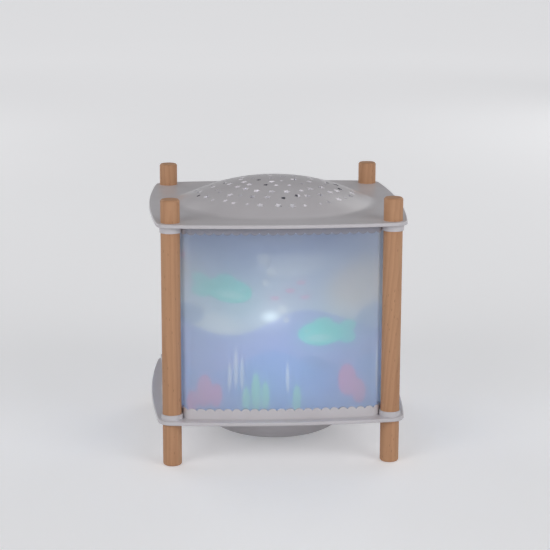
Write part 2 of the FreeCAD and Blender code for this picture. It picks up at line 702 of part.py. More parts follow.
def top_plate():
    wall, foot_at = dome()
    sheet_with_hole = cut("top_plate_sheet", plate("top_plate_blank", LID_UNDER), [
        cylinder("dome_hole", foot_at, "3 * plate_thickness", ("0", "0", f"{LID_UNDER} - plate_thickness"))])
    pieces = [sheet_with_hole, cut("pierced_dome", wall, [shaped("dome_piercings", piercings())])]
    collar_foot = f"{LID_UNDER} - upper_collar_height"
    for name, across, along in CORNERS:
        pieces.append(collar(f"top_collar_{name}", across, along, collar_foot, "upper_collar_height"))
    pieces.append(shaped("top_band", scalloped_band(size(LID_UNDER), -1, size("upper_band_height"))))
    tools = []
    for name, across, along in CORNERS:
        at = at_post(across, along)
        bore = f"{DOWEL_RADIUS} + collar_fit"
        tools.append(cylinder(f"top_collar_bore_{name}", bore, "2 * upper_collar_height",
                              (*at, f"{LID_UNDER} - 2 * upper_collar_height")))
        tools.append(cylinder(f"top_screw_hole_{name}", "screw_diameter / 2 + screw_hole_gap",
                              "3 * plate_thickness", (*at, f"{LID_UNDER} - plate_thickness")))
    node(cut("top_plate", fused("top_plate_moulding", pieces), tools))


# Screen
def screen_film():
    gap = size("film_end_gap")
    low, high = size(BASE_TOP) + gap, size(LID_UNDER) - gap
    node(shaped("screen_film", screen_ring(0, -size("film_thickness"), low, high)))


# Bowl
def base_bowl():
    curve = "(((bowl_radius - bowl_flat_radius)^2 + bowl_depth^2) / (2 * bowl_depth))"
    inner = f"({curve} - bowl_wall)"
    mouth = f"(bowl_flat_radius + sqrt({inner}^2 - ({curve} - bowl_depth)^2))"
    bottom = "(foot_length - bowl_depth)"
    outside = turned("bowl_outside", [
        ("0", bottom),
        ("bowl_flat_radius", bottom, curve, LEFT),
        ("bowl_radius", "foot_length"),
        ("0", "foot_length"),
    ])
    inside = turned("bowl_inside", [
        ("0", BOWL_FLOOR),
        ("bowl_flat_radius", BOWL_FLOOR, inner, LEFT),
        (mouth, "foot_length"),
        ("0", "foot_length"),
    ])
    pieces = [cut("bowl_shell", outside, [inside])]
    tools = []
    for turn in BOWL_SCREW_TURNS:
        at = on_circle("bowl_screw_circle", turn)
        stem = cylinder(f"bowl_boss_stem_{turn}", "bowl_boss_diameter / 2", "bowl_depth", (*at, bottom))
        boss = doc.addObject("Part::Common", f"bowl_boss_{turn}")
        boss.Base = stem
        boss.Tool = outside
        pieces.append(boss)
        grip = "bowl_screw_grip + bore_end_gap"
        tools.append(cylinder(f"bowl_boss_bore_{turn}", "screw_diameter / 2 + bore_fit", grip,
                              (*at, f"foot_length - ({grip})")))
    pieces.append(cylinder("inlet_pad", "inlet_pad_radius", "inlet_pad_depth",
                           ("0", PAD_INSIDE, "inlet_height"), ALONG_Y))
    tools.append(cylinder("inlet_bore", "jack_radius + jack_fit", "2 * inlet_pad_depth",
                          ("0", f"{PAD_INSIDE} - inlet_pad_depth / 2", "inlet_height"), ALONG_Y))
    for turn in HOLDER_SCREW_TURNS:
        at = (*on_circle("holder_screw_circle", turn), f"{bottom} - bowl_wall")
        tools.append(cylinder(f"bowl_screw_hole_{turn}", "screw_diameter / 2 + screw_hole_gap",
                              "3 * bowl_wall", at))
    count = int(size("vent_count"))
    for number in range(count):
        turn = 360.0 * (number + 0.5) / count
        slot = doc.addObject("Part::Box", f"vent_{number}")
        slot.setExpression("Length", bound("vent_length"))
        slot.setExpression("Width", bound("vent_width"))
        slot.setExpression("Height", bound("bowl_depth / 2"))
        shift = f"vent_width / 2 * sin({turn})", f"-vent_width / 2 * cos({turn})"
        start = on_circle("vent_start", turn)
        at = (f"{start[0]} + {shift[0]}", f"{start[1]} + {shift[1]}", f"{bottom} - bowl_wall")
        tools.append(place(slot, at, Rotation(Vector(0, 0, 1), turn)))
    node(cut("base_bowl", fused("base_bowl_moulding", pieces), tools))


# Lampholder
def lampholder():
    shelf = f"{BOWL_FLOOR} + holder_flange_thickness"
    bore = f"({SHELL_RADIUS} + bore_fit)"
    well = f"({SHELL_RADIUS} - shell_wall)"
    barrel = turned("lampholder_barrel", [
        ("0", BOWL_FLOOR),
        ("holder_flange_radius", BOWL_FLOOR),
        ("holder_flange_radius", shelf),
        ("holder_radius", shelf),
        ("holder_radius", HOLDER_RIM),
        (bore, HOLDER_RIM),
        (bore, SHELL_FOOT),
        (well, SHELL_FOOT),
        (well, SPRING_FOOT),
        ("0", SPRING_FOOT),
    ])
    tools = []
    for turn in HOLDER_SCREW_TURNS:
        tools.append(cylinder(f"lampholder_screw_bore_{turn}", "screw_diameter / 2 + bore_fit",
                              "holder_screw_grip + bore_end_gap",
                              (*on_circle("holder_screw_circle", turn), BOWL_FLOOR)))
    lead_height = f"{BOWL_FLOOR} + holder_flange_thickness / 2"
    lead_end = "holder_flange_radius - lead_entry_depth - bore_end_gap"
    for name, way in (("left", -1), ("right", 1)):
        at = (f"{way} * lead_end_spread", lead_end, lead_height)
        tools.append(cylinder(f"lampholder_lead_bore_{name}", "lead_diameter / 2 + bore_fit",
                              "2 * lead_entry_depth", at, ALONG_Y))
    node(cut("lampholder_body", barrel, tools))
    node(turned("lampholder_shell", [
        (f"{SHELL_RADIUS} - shell_wall", SHELL_FOOT),
        (SHELL_RADIUS, SHELL_FOOT),
        (SHELL_RADIUS, HOLDER_RIM),
        (f"{SHELL_RADIUS} - shell_wall", HOLDER_RIM),
    ]))
    spring_top = f"{SPRING_FOOT} + spring_height"
    node(turned("lampholder_spring", [
        ("0", SPRING_FOOT),
        ("spring_radius", SPRING_FOOT),
        ("spring_radius", f"{SPRING_FOOT} + spring_foot_height"),
        ("spring_top_radius", spring_top),
        ("0", spring_top),
    ]))


# Bulb
def bulb():
    globe = "(globe_diameter / 2)"
    inner = f"({globe} - glass_wall)"
    lean = "sqrt(0.5)"
    neck_bore = f"({NECK_RADIUS} - glass_wall)"
    node(turned("bulb_glass", [
        (neck_bore, NECK_FOOT),
        (NECK_RADIUS, NECK_FOOT),
        (NECK_RADIUS, f"{GLOBE_AT} - 2 * {globe} * {lean} + {NECK_RADIUS}"),
        (f"{globe} * {lean}", f"{GLOBE_AT} - {globe} * {lean}", globe, LEFT),
        (globe, GLOBE_AT, globe, LEFT),
        ("0", f"{GLOBE_AT} + {globe}"),
        ("0", f"{GLOBE_AT} + {inner}", inner, RIGHT),
        (inner, GLOBE_AT, inner, RIGHT),
        (f"{inner} * {lean}", f"{GLOBE_AT} - {inner} * {lean}"),
        (neck_bore, f"{GLOBE_AT} - 2 * {inner} * {lean} + {neck_bore}"),
    ]))
    node(turned("bulb_cap", [
        ("0", CAP_FOOT),
        ("contact_radius", CAP_FOOT),
        ("cap_radius", f"{CAP_FOOT} + insulator_height"),
        ("cap_radius", CAP_RIM),
        ("cap_radius - cap_wall", CAP_RIM),
        ("cap_radius - cap_wall", NECK_FOOT),
        ("0", NECK_FOOT),
    ]))
    node(turned("bulb_contact", [
        ("0", BULB_FOOT),
        ("contact_face_radius", BULB_FOOT, "contact_height", LEFT),
        ("contact_radius", CAP_FOOT),
        ("0", CAP_FOOT),
    ]))
    stem = turned("bulb_stem", [
        ("0", NECK_FOOT),
        (f"{neck_bore} - stem_flare_gap", NECK_FOOT),
        ("stem_radius", f"{NECK_FOOT} + stem_flare_height"),
        ("stem_radius", f"{NECK_FOOT} + stem_height"),
        ("0", f"{NECK_FOOT} + stem_height"),
    ])
    node(fused("bulb_filament", [stem, shaped("filament_wires", filament_wires())]))


def filament_wires():
    """One wire that rises from the stem, spreads and closes in an arch."""
    half = size("filament_span / 2")
    wire = size("filament_wire")
    top = size(f"{NECK_FOOT} + stem_height") - wire
    end = size(GLOBE_AT)
    root = size("stem_radius") - wire
    arch = size("filament_arch")
    points = [Vector(-root, 0, top), Vector(-half, 0, end), Vector(-half / 2, 0, end + arch),
              Vector(half / 2, 0, end + arch), Vector(half, 0, end), Vector(root, 0, top)]
    path = rounded_path(points, size("filament_bend_radius"))
    section = Part.Wire(Part.makeCircle(wire, points[0], points[1] - points[0]))
    return path.makePipeShell([section], True, False)


# Needle and the hoop that carries it
def needle_hoop():
    pieces = []
    for name, way in (("left", -1), ("right", 1)):
        at = (f"{way} * hoop_radius", "0", BASE_TOP)
        pieces.append(cylinder(f"hoop_leg_{name}", "hoop_wire", "hoop_leg", at))
    arch = doc.addObject("Part::Torus", "hoop_arch")
    arch.setExpression("Radius1", bound("hoop_radius"))
    arch.setExpression("Radius2", bound("hoop_wire"))
    arch.Angle3 = 180
    pieces.append(place(arch, ("0", "0", HOOP_MIDDLE), Rotation(Vector(1, 0, 0), 90)))
    node(fused("needle_hoop", pieces))


def needle():
    foot_at = f"{HOOP_TOP} - ferrule_height / 2"
    blank = turned("needle_blank", [
        ("0", foot_at),
        ("ferrule_radius", foot_at),
        ("ferrule_radius", FERRULE_TOP),
        ("needle_radius", FERRULE_TOP),
        ("needle_radius", f"{NEEDLE_TIP} - needle_taper"),
        ("needle_tip_radius", f"{NEEDLE_TIP} - needle_tip_radius", "needle_tip_radius", LEFT),
        ("0", NEEDLE_TIP),
    ])
    across = Rotation(Vector(0, 1, 0), 90)
    bore = cylinder("needle_wire_bore", "hoop_wire + ferrule_wire_gap", "4 * ferrule_radius",
                    ("-2 * ferrule_radius", "0", HOOP_TOP), across)
    node(cut("needle", blank, [bore]))


# Drum
def pivot_cup():
    shoulder = "cup_radius + cup_shoulder_width"
    roof = f"{CUP_SEAT} + cup_roof"
    node(turned("pivot_cup", [
        ("cup_bore_radius", CUP_FOOT),
        (shoulder, CUP_FOOT),
        (shoulder, WHEEL_FOOT),
        ("cup_radius", WHEEL_FOOT),
        ("cup_radius", f"{roof} - cup_chamfer"),
        ("cup_radius - cup_chamfer", roof),
        ("0", roof),
        ("0", CUP_SEAT),
        ("needle_tip_radius", CUP_SEAT),
    ]))


def vane_wheel():
    """Hub, rim and slanted vanes, each vane a tapered blade tilted round its own radius."""
    hub_bore = size("cup_radius + drum_fit")
    hub = hub_bore + size("wheel_hub_wall")
    rim = size(f"{RING_BORE} - drum_fit")
    rim_bore = rim - size("wheel_rim_wall")
    low = size(WHEEL_FOOT)
    height = size("wheel_height")
    thickness = size("vane_thickness")
    middle = low + height / 2
    root = size("vane_root_width") / 2
    tip = size("vane_tip_width") / 2
    near, far = (hub_bore + hub) / 2, (rim_bore + rim) / 2
    shape = Part.makeCylinder(hub, height, Vector(0, 0, low))
    shape = shape.cut(Part.makeCylinder(hub_bore, height, Vector(0, 0, low)))
    ring = Part.makeCylinder(rim, height, Vector(0, 0, low))
    ring = ring.cut(Part.makeCylinder(rim_bore, height, Vector(0, 0, low)))
    points = [Vector(near, -root, 0), Vector(far, -tip, 0), Vector(far, tip, 0), Vector(near, root, 0)]
    blade = Part.Face(Part.makePolygon(points + points[:1])).extrude(Vector(0, 0, thickness))
    blade.translate(Vector(0, 0, -thickness / 2))
    blade.rotate(Vector(), Vector(1, 0, 0), size("vane_tilt"))
    blade.translate(Vector(0, 0, middle))
    room = Part.makeCylinder(far, 4 * tip, Vector(0, 0, middle - 2 * tip))
    blade = blade.common(room)
    pieces = [ring]
    count = int(size("vane_count"))
    for number in range(count):
        copy = blade.copy()
        copy.rotate(Vector(), Vector(0, 0, 1), 360.0 * number / count)
        pieces.append(copy)
    node(shaped("vane_wheel", shape.multiFuse(pieces)))


def drum():
    film_bore = "drum_radius - drum_film_thickness"
    node(turned("drum_film", [
        (film_bore, DRUM_FOOT),
        ("drum_radius", DRUM_FOOT),
        ("drum_radius", DRUM_TOP),
        (film_bore, DRUM_TOP),
    ]))
    ledge = f"{RING_BORE} - drum_ledge_width"
    foot_at = f"{DRUM_TOP} - drum_ring_height"
    node(turned("drum_top_ring", [
        (ledge, foot_at),
        (RING_RADIUS, foot_at),
        (RING_RADIUS, DRUM_TOP),
        (RING_BORE, DRUM_TOP),
        (RING_BORE, WHEEL_FOOT),
        (ledge, WHEEL_FOOT),
    ]))
    node(turned("drum_bottom_ring", [
        (RING_BORE, DRUM_FOOT),
        (RING_RADIUS, DRUM_FOOT),
        (RING_RADIUS, f"{DRUM_FOOT} + drum_ring_height"),
        (RING_BORE, f"{DRUM_FOOT} + drum_ring_height"),
    ]))


# Inlet
def inlet():
    flange_foot = "jack_length"
    face = "jack_length + jack_flange_thickness"
    bore_end = f"{face} - jack_bore_depth"
    pin_bore = "pin_seat_radius + bore_fit"
    node(turned("inlet_jack", [
        ("0", "0"),
        ("jack_radius", "0"),
        ("jack_radius", flange_foot),
        ("jack_flange_radius", flange_foot),
        ("jack_flange_radius", face),
        ("jack_bore_radius", face),
        ("jack_bore_radius", bore_end),
        (pin_bore, bore_end),
        (pin_bore, f"{bore_end} - pin_seat"),
        ("0", f"{bore_end} - pin_seat"),
    ], ("0", JACK_BACK, "inlet_height"), ALONG_Y))
    pin_tip = f"{face} - pin_setback"
    node(turned("inlet_pin", [
        ("0", f"{bore_end} - pin_seat"),
        ("pin_seat_radius", f"{bore_end} - pin_seat"),
        ("pin_seat_radius", bore_end),
        ("pin_radius", bore_end),
        ("pin_radius", f"{pin_tip} - pin_chamfer"),
        ("pin_radius - pin_chamfer", pin_tip),
        ("0", pin_tip),
    ], ("0", JACK_BACK, "inlet_height"), ALONG_Y))
    prism = doc.addObject("Part::Prism", "inlet_nut_blank")
    prism.Polygon = 6
    prism.setExpression("Circumradius", bound("nut_width / sqrt(3)"))
    prism.setExpression("Height", bound("nut_thickness"))
    place(prism, ("0", f"{PAD_INSIDE} - nut_thickness", "inlet_height"), ALONG_Y)
    bore = cylinder("inlet_nut_bore", "jack_radius + jack_fit", "3 * nut_thickness",
                    ("0", f"{PAD_INSIDE} - 2 * nut_thickness", "inlet_height"), ALONG_Y)
    node(cut("inlet_nut", prism, [bore]))


def rounded_path(points, radius):
    """Straight runs joined by tangent arcs."""
    edges = []
    start = points[0]
    for before, corner, after in zip(points, points[1:], points[2:]):
        back = (before - corner).normalize()
        on = (after - corner).normalize()
        turn = math.pi - back.getAngle(on)
        reach = radius * math.tan(turn / 2)
        middle = (back + on).normalize() * (radius / math.cos(turn / 2) - radius)
        edges.append(Part.makeLine(start, corner + back * reach))
        edges.append(Part.Arc(corner + back * reach, corner + middle, corner + on * reach).toShape())
        start = corner + on * reach
    edges.append(Part.makeLine(start, points[-1]))
    return Part.Wire(edges)


def inner_leads():
    leads = []
    radius = size("lead_diameter / 2")
    high = size("inlet_height")
    low = size(f"{BOWL_FLOOR} + holder_flange_thickness / 2")
    back = size(JACK_BACK)
    end = size("holder_flange_radius - lead_entry_depth")
    drop_end = size("holder_flange_radius + lead_straight")
    for way in (-1, 1):
        near = way * size("lead_start_spread")
        far = way * size("lead_end_spread")
        points = [
            Vector(near, back, high),
            Vector(near, back - size("lead_straight"), high),
            Vector(far, drop_end, low),
            Vector(far, end, low),
        ]
        path = rounded_path(points, size("lead_bend_radius"))
        section = Part.Wire(Part.makeCircle(radius, points[0], Vector(0, 1, 0)))
        lead = path.makePipeShell([section], True, False)
        print("lead volume over section times length", lead.Volume / (math.pi * radius ** 2 * path.Length))
        leads.append(lead)
    node(shaped("inner_leads", Part.makeCompound(leads)))


def build():
    for corner in CORNERS:
        foot(*corner)
        post(*corner)
        finial(*corner)
    base_plate()
    base_bowl()
    top_plate()
    screen_film()
    drum()
    pivot_cup()
    vane_wheel()
    needle_hoop()
    needle()
    bulb()
    lampholder()
    inlet()
    inner_leads()
    post_studs()
    finial_screws()
    bowl_screws()
    holder_screws()
    doc.recompute()


def check():
    """Stop before anything is written if an object failed or a shape is not sound."""
    for thing in doc.Objects:
        faults = [state for state in thing.State if state in ("Invalid", "Error")]
        if faults:
            raise RuntimeError(f"{thing.Name} is {faults}")
    for thing in nodes:
        shape = thing.Shape
        if shape.isNull() or not shape.isValid() or not shape.Solids:
            raise RuntimeError(f"{thing.Name} has no sound solid")
        print(f"{thing.Name}: {len(shape.Solids)} solid(s), {shape.Volume:.1f} mm3")


def export():
    os.makedirs("parts", exist_ok=True)
    for thing in nodes:
        thing.Shape.exportStep(f"parts/{thing.Label}.step")


build()
check()
export()
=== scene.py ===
"""A table lamp with a turning picture drum: finishes, small modelled pieces and a studio round its frame."""

import json
import math

import bmesh
import bpy
from bpy.props import FloatProperty, FloatVectorProperty, PointerProperty
from bpy.types import Operator, Panel, PropertyGroup
from mathutils import Matrix, Vector

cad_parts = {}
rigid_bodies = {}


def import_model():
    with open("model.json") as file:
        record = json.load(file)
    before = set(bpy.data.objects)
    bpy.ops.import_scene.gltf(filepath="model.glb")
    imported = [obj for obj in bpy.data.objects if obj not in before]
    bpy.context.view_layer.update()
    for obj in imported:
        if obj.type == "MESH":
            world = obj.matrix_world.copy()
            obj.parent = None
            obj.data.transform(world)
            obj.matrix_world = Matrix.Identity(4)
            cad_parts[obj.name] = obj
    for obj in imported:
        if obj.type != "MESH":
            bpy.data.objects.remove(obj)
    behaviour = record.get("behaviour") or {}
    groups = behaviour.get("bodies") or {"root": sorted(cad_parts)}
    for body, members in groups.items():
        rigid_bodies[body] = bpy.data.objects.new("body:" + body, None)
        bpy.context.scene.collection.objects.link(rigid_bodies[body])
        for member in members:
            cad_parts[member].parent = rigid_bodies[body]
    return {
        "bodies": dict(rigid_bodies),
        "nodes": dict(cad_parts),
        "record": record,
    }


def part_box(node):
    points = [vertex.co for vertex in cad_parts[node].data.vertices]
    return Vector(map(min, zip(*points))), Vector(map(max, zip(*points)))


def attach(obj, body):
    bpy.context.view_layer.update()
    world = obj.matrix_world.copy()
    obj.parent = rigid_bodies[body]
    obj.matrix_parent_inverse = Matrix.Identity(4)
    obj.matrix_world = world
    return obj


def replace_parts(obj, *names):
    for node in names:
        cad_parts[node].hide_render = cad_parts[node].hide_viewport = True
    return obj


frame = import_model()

bl_info = {
    "name": "Turning picture lamp",
    "version": (1, 0, 0),
    "blender": (4, 5, 0),
    "location": "3D View > Sidebar > Picture Lamp",
    "description": "Finishes and small pieces for a table lamp with a drum that turns in warm air",
    "category": "Object",
}

MM = 0.001
CORNERS = {"front_left": (-1, -1), "front_right": (1, -1), "back_left": (-1, 1), "back_right": (1, 1)}

# Sizes that the boxes of the solids don't give: the plate's edge, and from a post's axis in to the step of
# the screen film and in to the dome's foot
PLATE_THICKNESS = 2.5 * MM
POST_TO_STEP = 7.6 * MM
POST_TO_DOME = 4.0 * MM

# Places read from the frame

POST_AXIS = sum(corner.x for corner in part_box("post_front_right")) / 2
PLATE_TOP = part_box("finial_front_right")[0].z
DOME_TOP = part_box("top_plate")[1].z
PLATE_UNDER = PLATE_TOP - PLATE_THICKNESS
DRUM_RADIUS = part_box("drum_film")[1].x
SCREEN_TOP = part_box("screen_film")[1].z
CAP_FOOT, CAP_TOP = (corner.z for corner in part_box("bulb_cap"))
CAP_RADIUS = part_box("bulb_cap")[1].x
SHELL_FOOT, SHELL_TOP = (corner.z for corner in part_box("lampholder_shell"))
SHELL_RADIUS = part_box("lampholder_shell")[1].x
GLOBE_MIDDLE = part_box("bulb_glass")[1].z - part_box("bulb_glass")[1].x
LIGHT_UP = GLOBE_MIDDLE + 6 * MM
THREAD_PITCH = frame["record"]["behaviour"]["couplings"][0]["ratio"] * 2 * math.pi

# How far from the lamp's axis the screen film turns in beside each post, and the dome's radius at its foot
STEP_AT = POST_AXIS - POST_TO_STEP
DOME_RADIUS = POST_AXIS - POST_TO_DOME

# The painted bright spot of the bulb on each side of the screen: from the side's middle, and up from the
# table
HALO_ACROSS = -7.5 * MM
HALO_UP = 97.0 * MM

# Its soft layers, each with its half width, half height and share of the light
HALO_LAYERS = ((20 * MM, 17 * MM, 0.06), (9 * MM, 7 * MM, 0.2), (4.4 * MM, 3.0 * MM, 0.75))

# How the pith of the tree leans across and along each post, and the turn of its rings round the post
POST_CUTS = {"front_left": (0.016, -0.012, 0.5), "front_right": (0.085, 0.02, 1.35),
             "back_left": (0.03, 0.05, 2.6), "back_right": (-0.05, 0.02, 4.1)}

# The floor reaches this far, and the lamps' light thins out between these distances, all in metres
FLOOR_RADIUS = 40.0
LIGHT_THINS = (0.9, 2.6)


# Settings


def colour(label, description, default):
    """A colour setting."""
    return FloatVectorProperty(name=label, description=description, subtype="COLOR", size=3, min=0.0, max=1.0,
                               default=default)


def length(label, description, default):
    """A length setting in metres."""
    return FloatProperty(name=label, description=description, subtype="DISTANCE", unit="LENGTH", min=0.0,
                         precision=5, default=default)


def position(label, description, default):
    """A place in metres."""
    return FloatVectorProperty(name=label, description=description, subtype="TRANSLATION", unit="LENGTH",
                               size=3, default=default)


def watts(label, description, default):
    """A light's power."""
    return FloatProperty(name=label, description=description, subtype="POWER", unit="POWER", min=0.0,
                         default=default)


def share(label, description, default, largest=1.0):
    """A setting with no unit."""
    return FloatProperty(name=label, description=description, min=0.0, max=largest, default=default)


class BeechSettings(PropertyGroup):
    """Colours and grain of the twelve dowels."""

    pale: colour("Early Wood", "Colour between the growth rings", (0.60, 0.335, 0.19))
    dark: colour("Late Wood", "Colour of the growth rings", (0.42, 0.20, 0.10))
    fleck: colour("Flecks", "Colour of the short dark rays", (0.24, 0.11, 0.055))
    ring_spacing: length("Ring Spacing", "From one growth ring to the next", 2.9 * MM)
    bow: length("Distance to the Pith", "How far the tree's middle lies from a dowel's axis", 30 * MM)


class PlasticSettings(PropertyGroup):
    """Colours of the moulded white plates, with painted shade on the bowl, the hanging band and the unlit
    cut-outs, and a painted glow in the other cut-outs.
    """

    plate: colour("Plates", "Colour of the moulded plastic", (0.66, 0.635, 0.66))
    # The bowl is the plates' plastic made a little darker, as painted shade under the base plate
    bowl: colour("Bowl", "Colour of the bowl under the base plate", (0.58, 0.56, 0.585))
    # Painted shade: the top plate's hanging band is painted darker, as if in the rim's shadow
    band: colour("Hanging Band", "Colour of the top plate's shaded band", (0.34, 0.34, 0.40))
    # Painted shade on cut-outs that get no light from inside, and painted light that glows on the walls of
    # the rest
    unlit: colour("Unlit Cut-outs", "Colour of cut-outs without light from inside", (0.16, 0.16, 0.19))
    glow: colour("Cut-out Glow", "Colour of the lamp's light on the walls of the cut-outs", (0.95, 0.95, 1.0))
    glow_strength: share("Cut-out Glow Strength", "Strength of that light", 0.22, 5.0)
    polish: share("Roughness", "How rough the plates are", 0.3)


class ScreenSettings(PropertyGroup):
    """The frosted film in front of the turning picture, with its painted shade and its painted bright spot.
    """

    film: colour("Film", "Colour of the frosted film", (0.27, 0.32, 0.37))
    # Painted shade towards the top of the film, under the top plate
    upper: colour("Upper Film", "Colour towards the top band", (0.17, 0.21, 0.30))
    # Painted shade on the steps round the posts and on the film's bends beside them
    step: colour("Steps", "Colour of the steps round the posts", (0.36, 0.41, 0.48))
    passing: colour("Light Through", "Tint that the film gives to the picture's light", (0.95, 0.97, 1.0))
    scatter: share("Scatter", "Share of the light that goes through the film", 0.5)
    # Painted light: the glowing bright spot of the bulb on each side of the film
    halo: colour("Halo", "Colour of the lamp's bright spot in the film", (0.86, 1.0, 0.98))
    halo_strength: share("Halo Strength", "Light of that spot", 0.62, 10.0)


class PictureSettings(PropertyGroup):
    """Colours of the generic picture on the drum: fish, corals and weed in pale water."""

    # Deeper water towards the top, which also serves as painted shade under the top plate
    upper: colour("Upper Water", "Water near the drum's top ring", (0.40, 0.50, 0.74))
    lower: colour("Lower Water", "Water above the waves", (0.64, 0.74, 0.84))
    far_wave: colour("Far Waves", "Lavender waves", (0.40, 0.48, 0.84))
    near_wave: colour("Near Waves", "Blue waves", (0.28, 0.50, 0.88))
    fish: colour("Fish", "Teal fish", (0.14, 0.86, 0.74))
    light: colour("Light", "Pale patches of light and bubbles", (0.94, 0.99, 0.98))
    warm: colour("Warm Light", "Warm patches of light", (0.88, 0.76, 0.58))
    coral: colour("Corals", "Pink corals", (0.88, 0.36, 0.56))
    weed: colour("Weed", "Mint weed at the foot", (0.42, 0.88, 0.66))
    rock: colour("Rocks", "Dark blue rocks and weed in the distance", (0.24, 0.38, 0.66))
    # Painted light: the print gives off light in its own colours
    glow_strength: share("Picture Glow", "Light that the picture gives off", 0.12, 5.0)
    depth: share("Print Depth", "How deep the print's colours are in each face of the drum's film", 0.72, 2.0)


class BulbSettings(PropertyGroup):
    """The small screw bulb."""

    light: colour("Light", "Colour of the bulb's light", (1.0, 0.95, 0.88))
    power: watts("Power", "Light that the bulb gives off", 0.05)
    picture_power: watts("Picture Power", "Light that throws the picture on the screen", 0.155)
    light_radius: length("Light Radius", "Radius of the ball that the light comes from", 2 * MM)
    coil_radius: length("Coil Radius", "Radius of the filament's coil", 0.55 * MM)
    coil_wire: length("Coil Wire", "Radius of the coiled wire", 0.11 * MM)
    thread_depth: length("Thread Depth", "From the screw thread's crest to its root", 0.6 * MM)


class StageSettings(PropertyGroup):
    """Floor, lamps and camera."""

    floor: colour("Floor", "Colour of the plain floor", (0.82, 0.82, 0.835))
    floor_lift: share("Floor Lift", "How much brighter the floor looks than the light on it makes it", 0.34)
    far_lift: share("Far Floor Lift", "How much more the floor is lifted where the lamps don't reach", 0.34)
    room_strength: share("Room Light", "Strength of the even light all round", 0.35, 5.0)
    room_look: share("Room Look", "How bright the room looks behind the lamp", 0.85, 5.0)
    overhead: share("Overhead", "Share of the room's light and look that is left overhead", 0.25)
    lamp_power: watts("Front Lamps", "Power of each of the two soft lamps in front", 9.0)
    back_share: share("Back Lamps", "Power of the two lamps behind, as a share of the front ones", 0.6)
    lamp_size: length("Lamp Size", "Width of each studio lamp", 1.1)
    lamp_place: position("Lamps", "Place of the front right lamp; the others mirror it", (1.05, -1.2, 0.8))
    camera_place: position("Camera", "Where the camera stands", (-0.0749, -1.1126, 0.3596))
    camera_aim: FloatVectorProperty(name="Line of Sight", description="Direction that the camera looks in",
                                    subtype="DIRECTION", size=3, default=(0.0658, 0.9730, -0.2211))
    camera_roll: FloatProperty(name="Roll", description="Turn about the line of sight", subtype="ANGLE",
                               unit="ROTATION", default=0.003)
    camera_lens: FloatProperty(name="Lens", description="Focal length for a sensor 36 mm wide", min=1.0,
                               default=112.56)


class PictureLampSettings(PropertyGroup):
    """All settings of the lamp and its stage."""

    beech: PointerProperty(type=BeechSettings, name="Beech", description="The dowels")
    plastic: PointerProperty(type=PlasticSettings, name="Plastic", description="The plates and the bowl")
    screen: PointerProperty(type=ScreenSettings, name="Screen", description="The frosted film")
    picture: PointerProperty(type=PictureSettings, name="Picture", description="The drum's print")
    bulb: PointerProperty(type=BulbSettings, name="Bulb", description="The bulb and its light")
    stage: PointerProperty(type=StageSettings, name="Stage", description="Floor, lamps and camera")


# Short calls for node trees

NUMBER, COLOUR, VECTOR = "NodeSocketFloat", "NodeSocketColor", "NodeSocketVector"

# What a finish gives a shader
SKIN = {"Colour": COLOUR, "Roughness": NUMBER, "Height": NUMBER}


class Tree:
    """A node tree, with one short call for each thing that the finishes do in it."""

    def __init__(self, node_tree):
        self.nodes = node_tree.nodes
        self.links = node_tree.links

    def feed(self, value, socket):
        """Joins a socket to an input, or sets the input's own value."""
        if isinstance(value, bpy.types.NodeSocket):
            self.links.new(value, socket)
        elif socket.type == "RGBA" and len(value) == 3:
            socket.default_value = (*value, 1.0)
        else:
            socket.default_value = value

    def add(self, kind, inputs, **settings):
        """Adds a node with its settings and inputs and returns it."""
        node = self.nodes.new(kind)
        for name, value in settings.items():
            setattr(node, name, value)
        for name, value in inputs.items():
            self.feed(value, node.inputs[name])
        return node

    def math(self, operation, *values):
        """The result of a Math node."""
        return self.add("ShaderNodeMath", dict(enumerate(values)), operation=operation).outputs[0]

    def vector(self, operation, *values):
        """The result of a Vector Math node."""
        node = self.add("ShaderNodeVectorMath", dict(enumerate(values)), operation=operation)
        return node.outputs["Value" if operation in ("LENGTH", "DOT_PRODUCT") else "Vector"]

    def parts(self, value):
        """The three numbers of a vector."""
        return self.add("ShaderNodeSeparateXYZ", {"Vector": value}).outputs

    def joined(self, x, y, z):
        """A vector made of three numbers."""
        return self.add("ShaderNodeCombineXYZ", {"X": x, "Y": y, "Z": z}).outputs[0]

    def reach(self, x, y):
        """How far a point in a plane lies from the plane's middle."""
        return self.vector("LENGTH", self.joined(x, y, 0.0))

    def blend(self, amount, first, second, way="MIX"):
        """The first colour with an amount of the second over it."""
        node = self.add("ShaderNodeMix", {0: amount, 6: first, 7: second}, data_type="RGBA", blend_type=way)
        return node.outputs[2]

    def step(self, value, low, high, start=0.0, end=1.0):
        """A soft step from start to end while the value goes from low to high."""
        inputs = {"Value": value, "From Min": low, "From Max": high, "To Min": start, "To Max": end}
        return self.add("ShaderNodeMapRange", inputs, interpolation_type="SMOOTHSTEP").outputs["Result"]

    def noise(self, place, scale, detail=2.0, roughness=0.5):
        """Even noise from 0 to 1."""
        inputs = {"Vector": place, "Scale": scale, "Detail": detail, "Roughness": roughness}
        return self.add("ShaderNodeTexNoise", inputs).outputs[0]

    def stretched(self, place, across, along):
        """A place scaled across and along the Z axis, so that noise on it runs with the grain."""
        return self.vector("MULTIPLY", place, (across, across, along))

    def group(self, name, inputs):
        """The outputs of a shared effect."""
        node = self.nodes.new("ShaderNodeGroup")
        node.node_tree = bpy.data.node_groups[name]
        for label, value in inputs.items():
            self.feed(value, node.inputs[label])
        return node.outputs


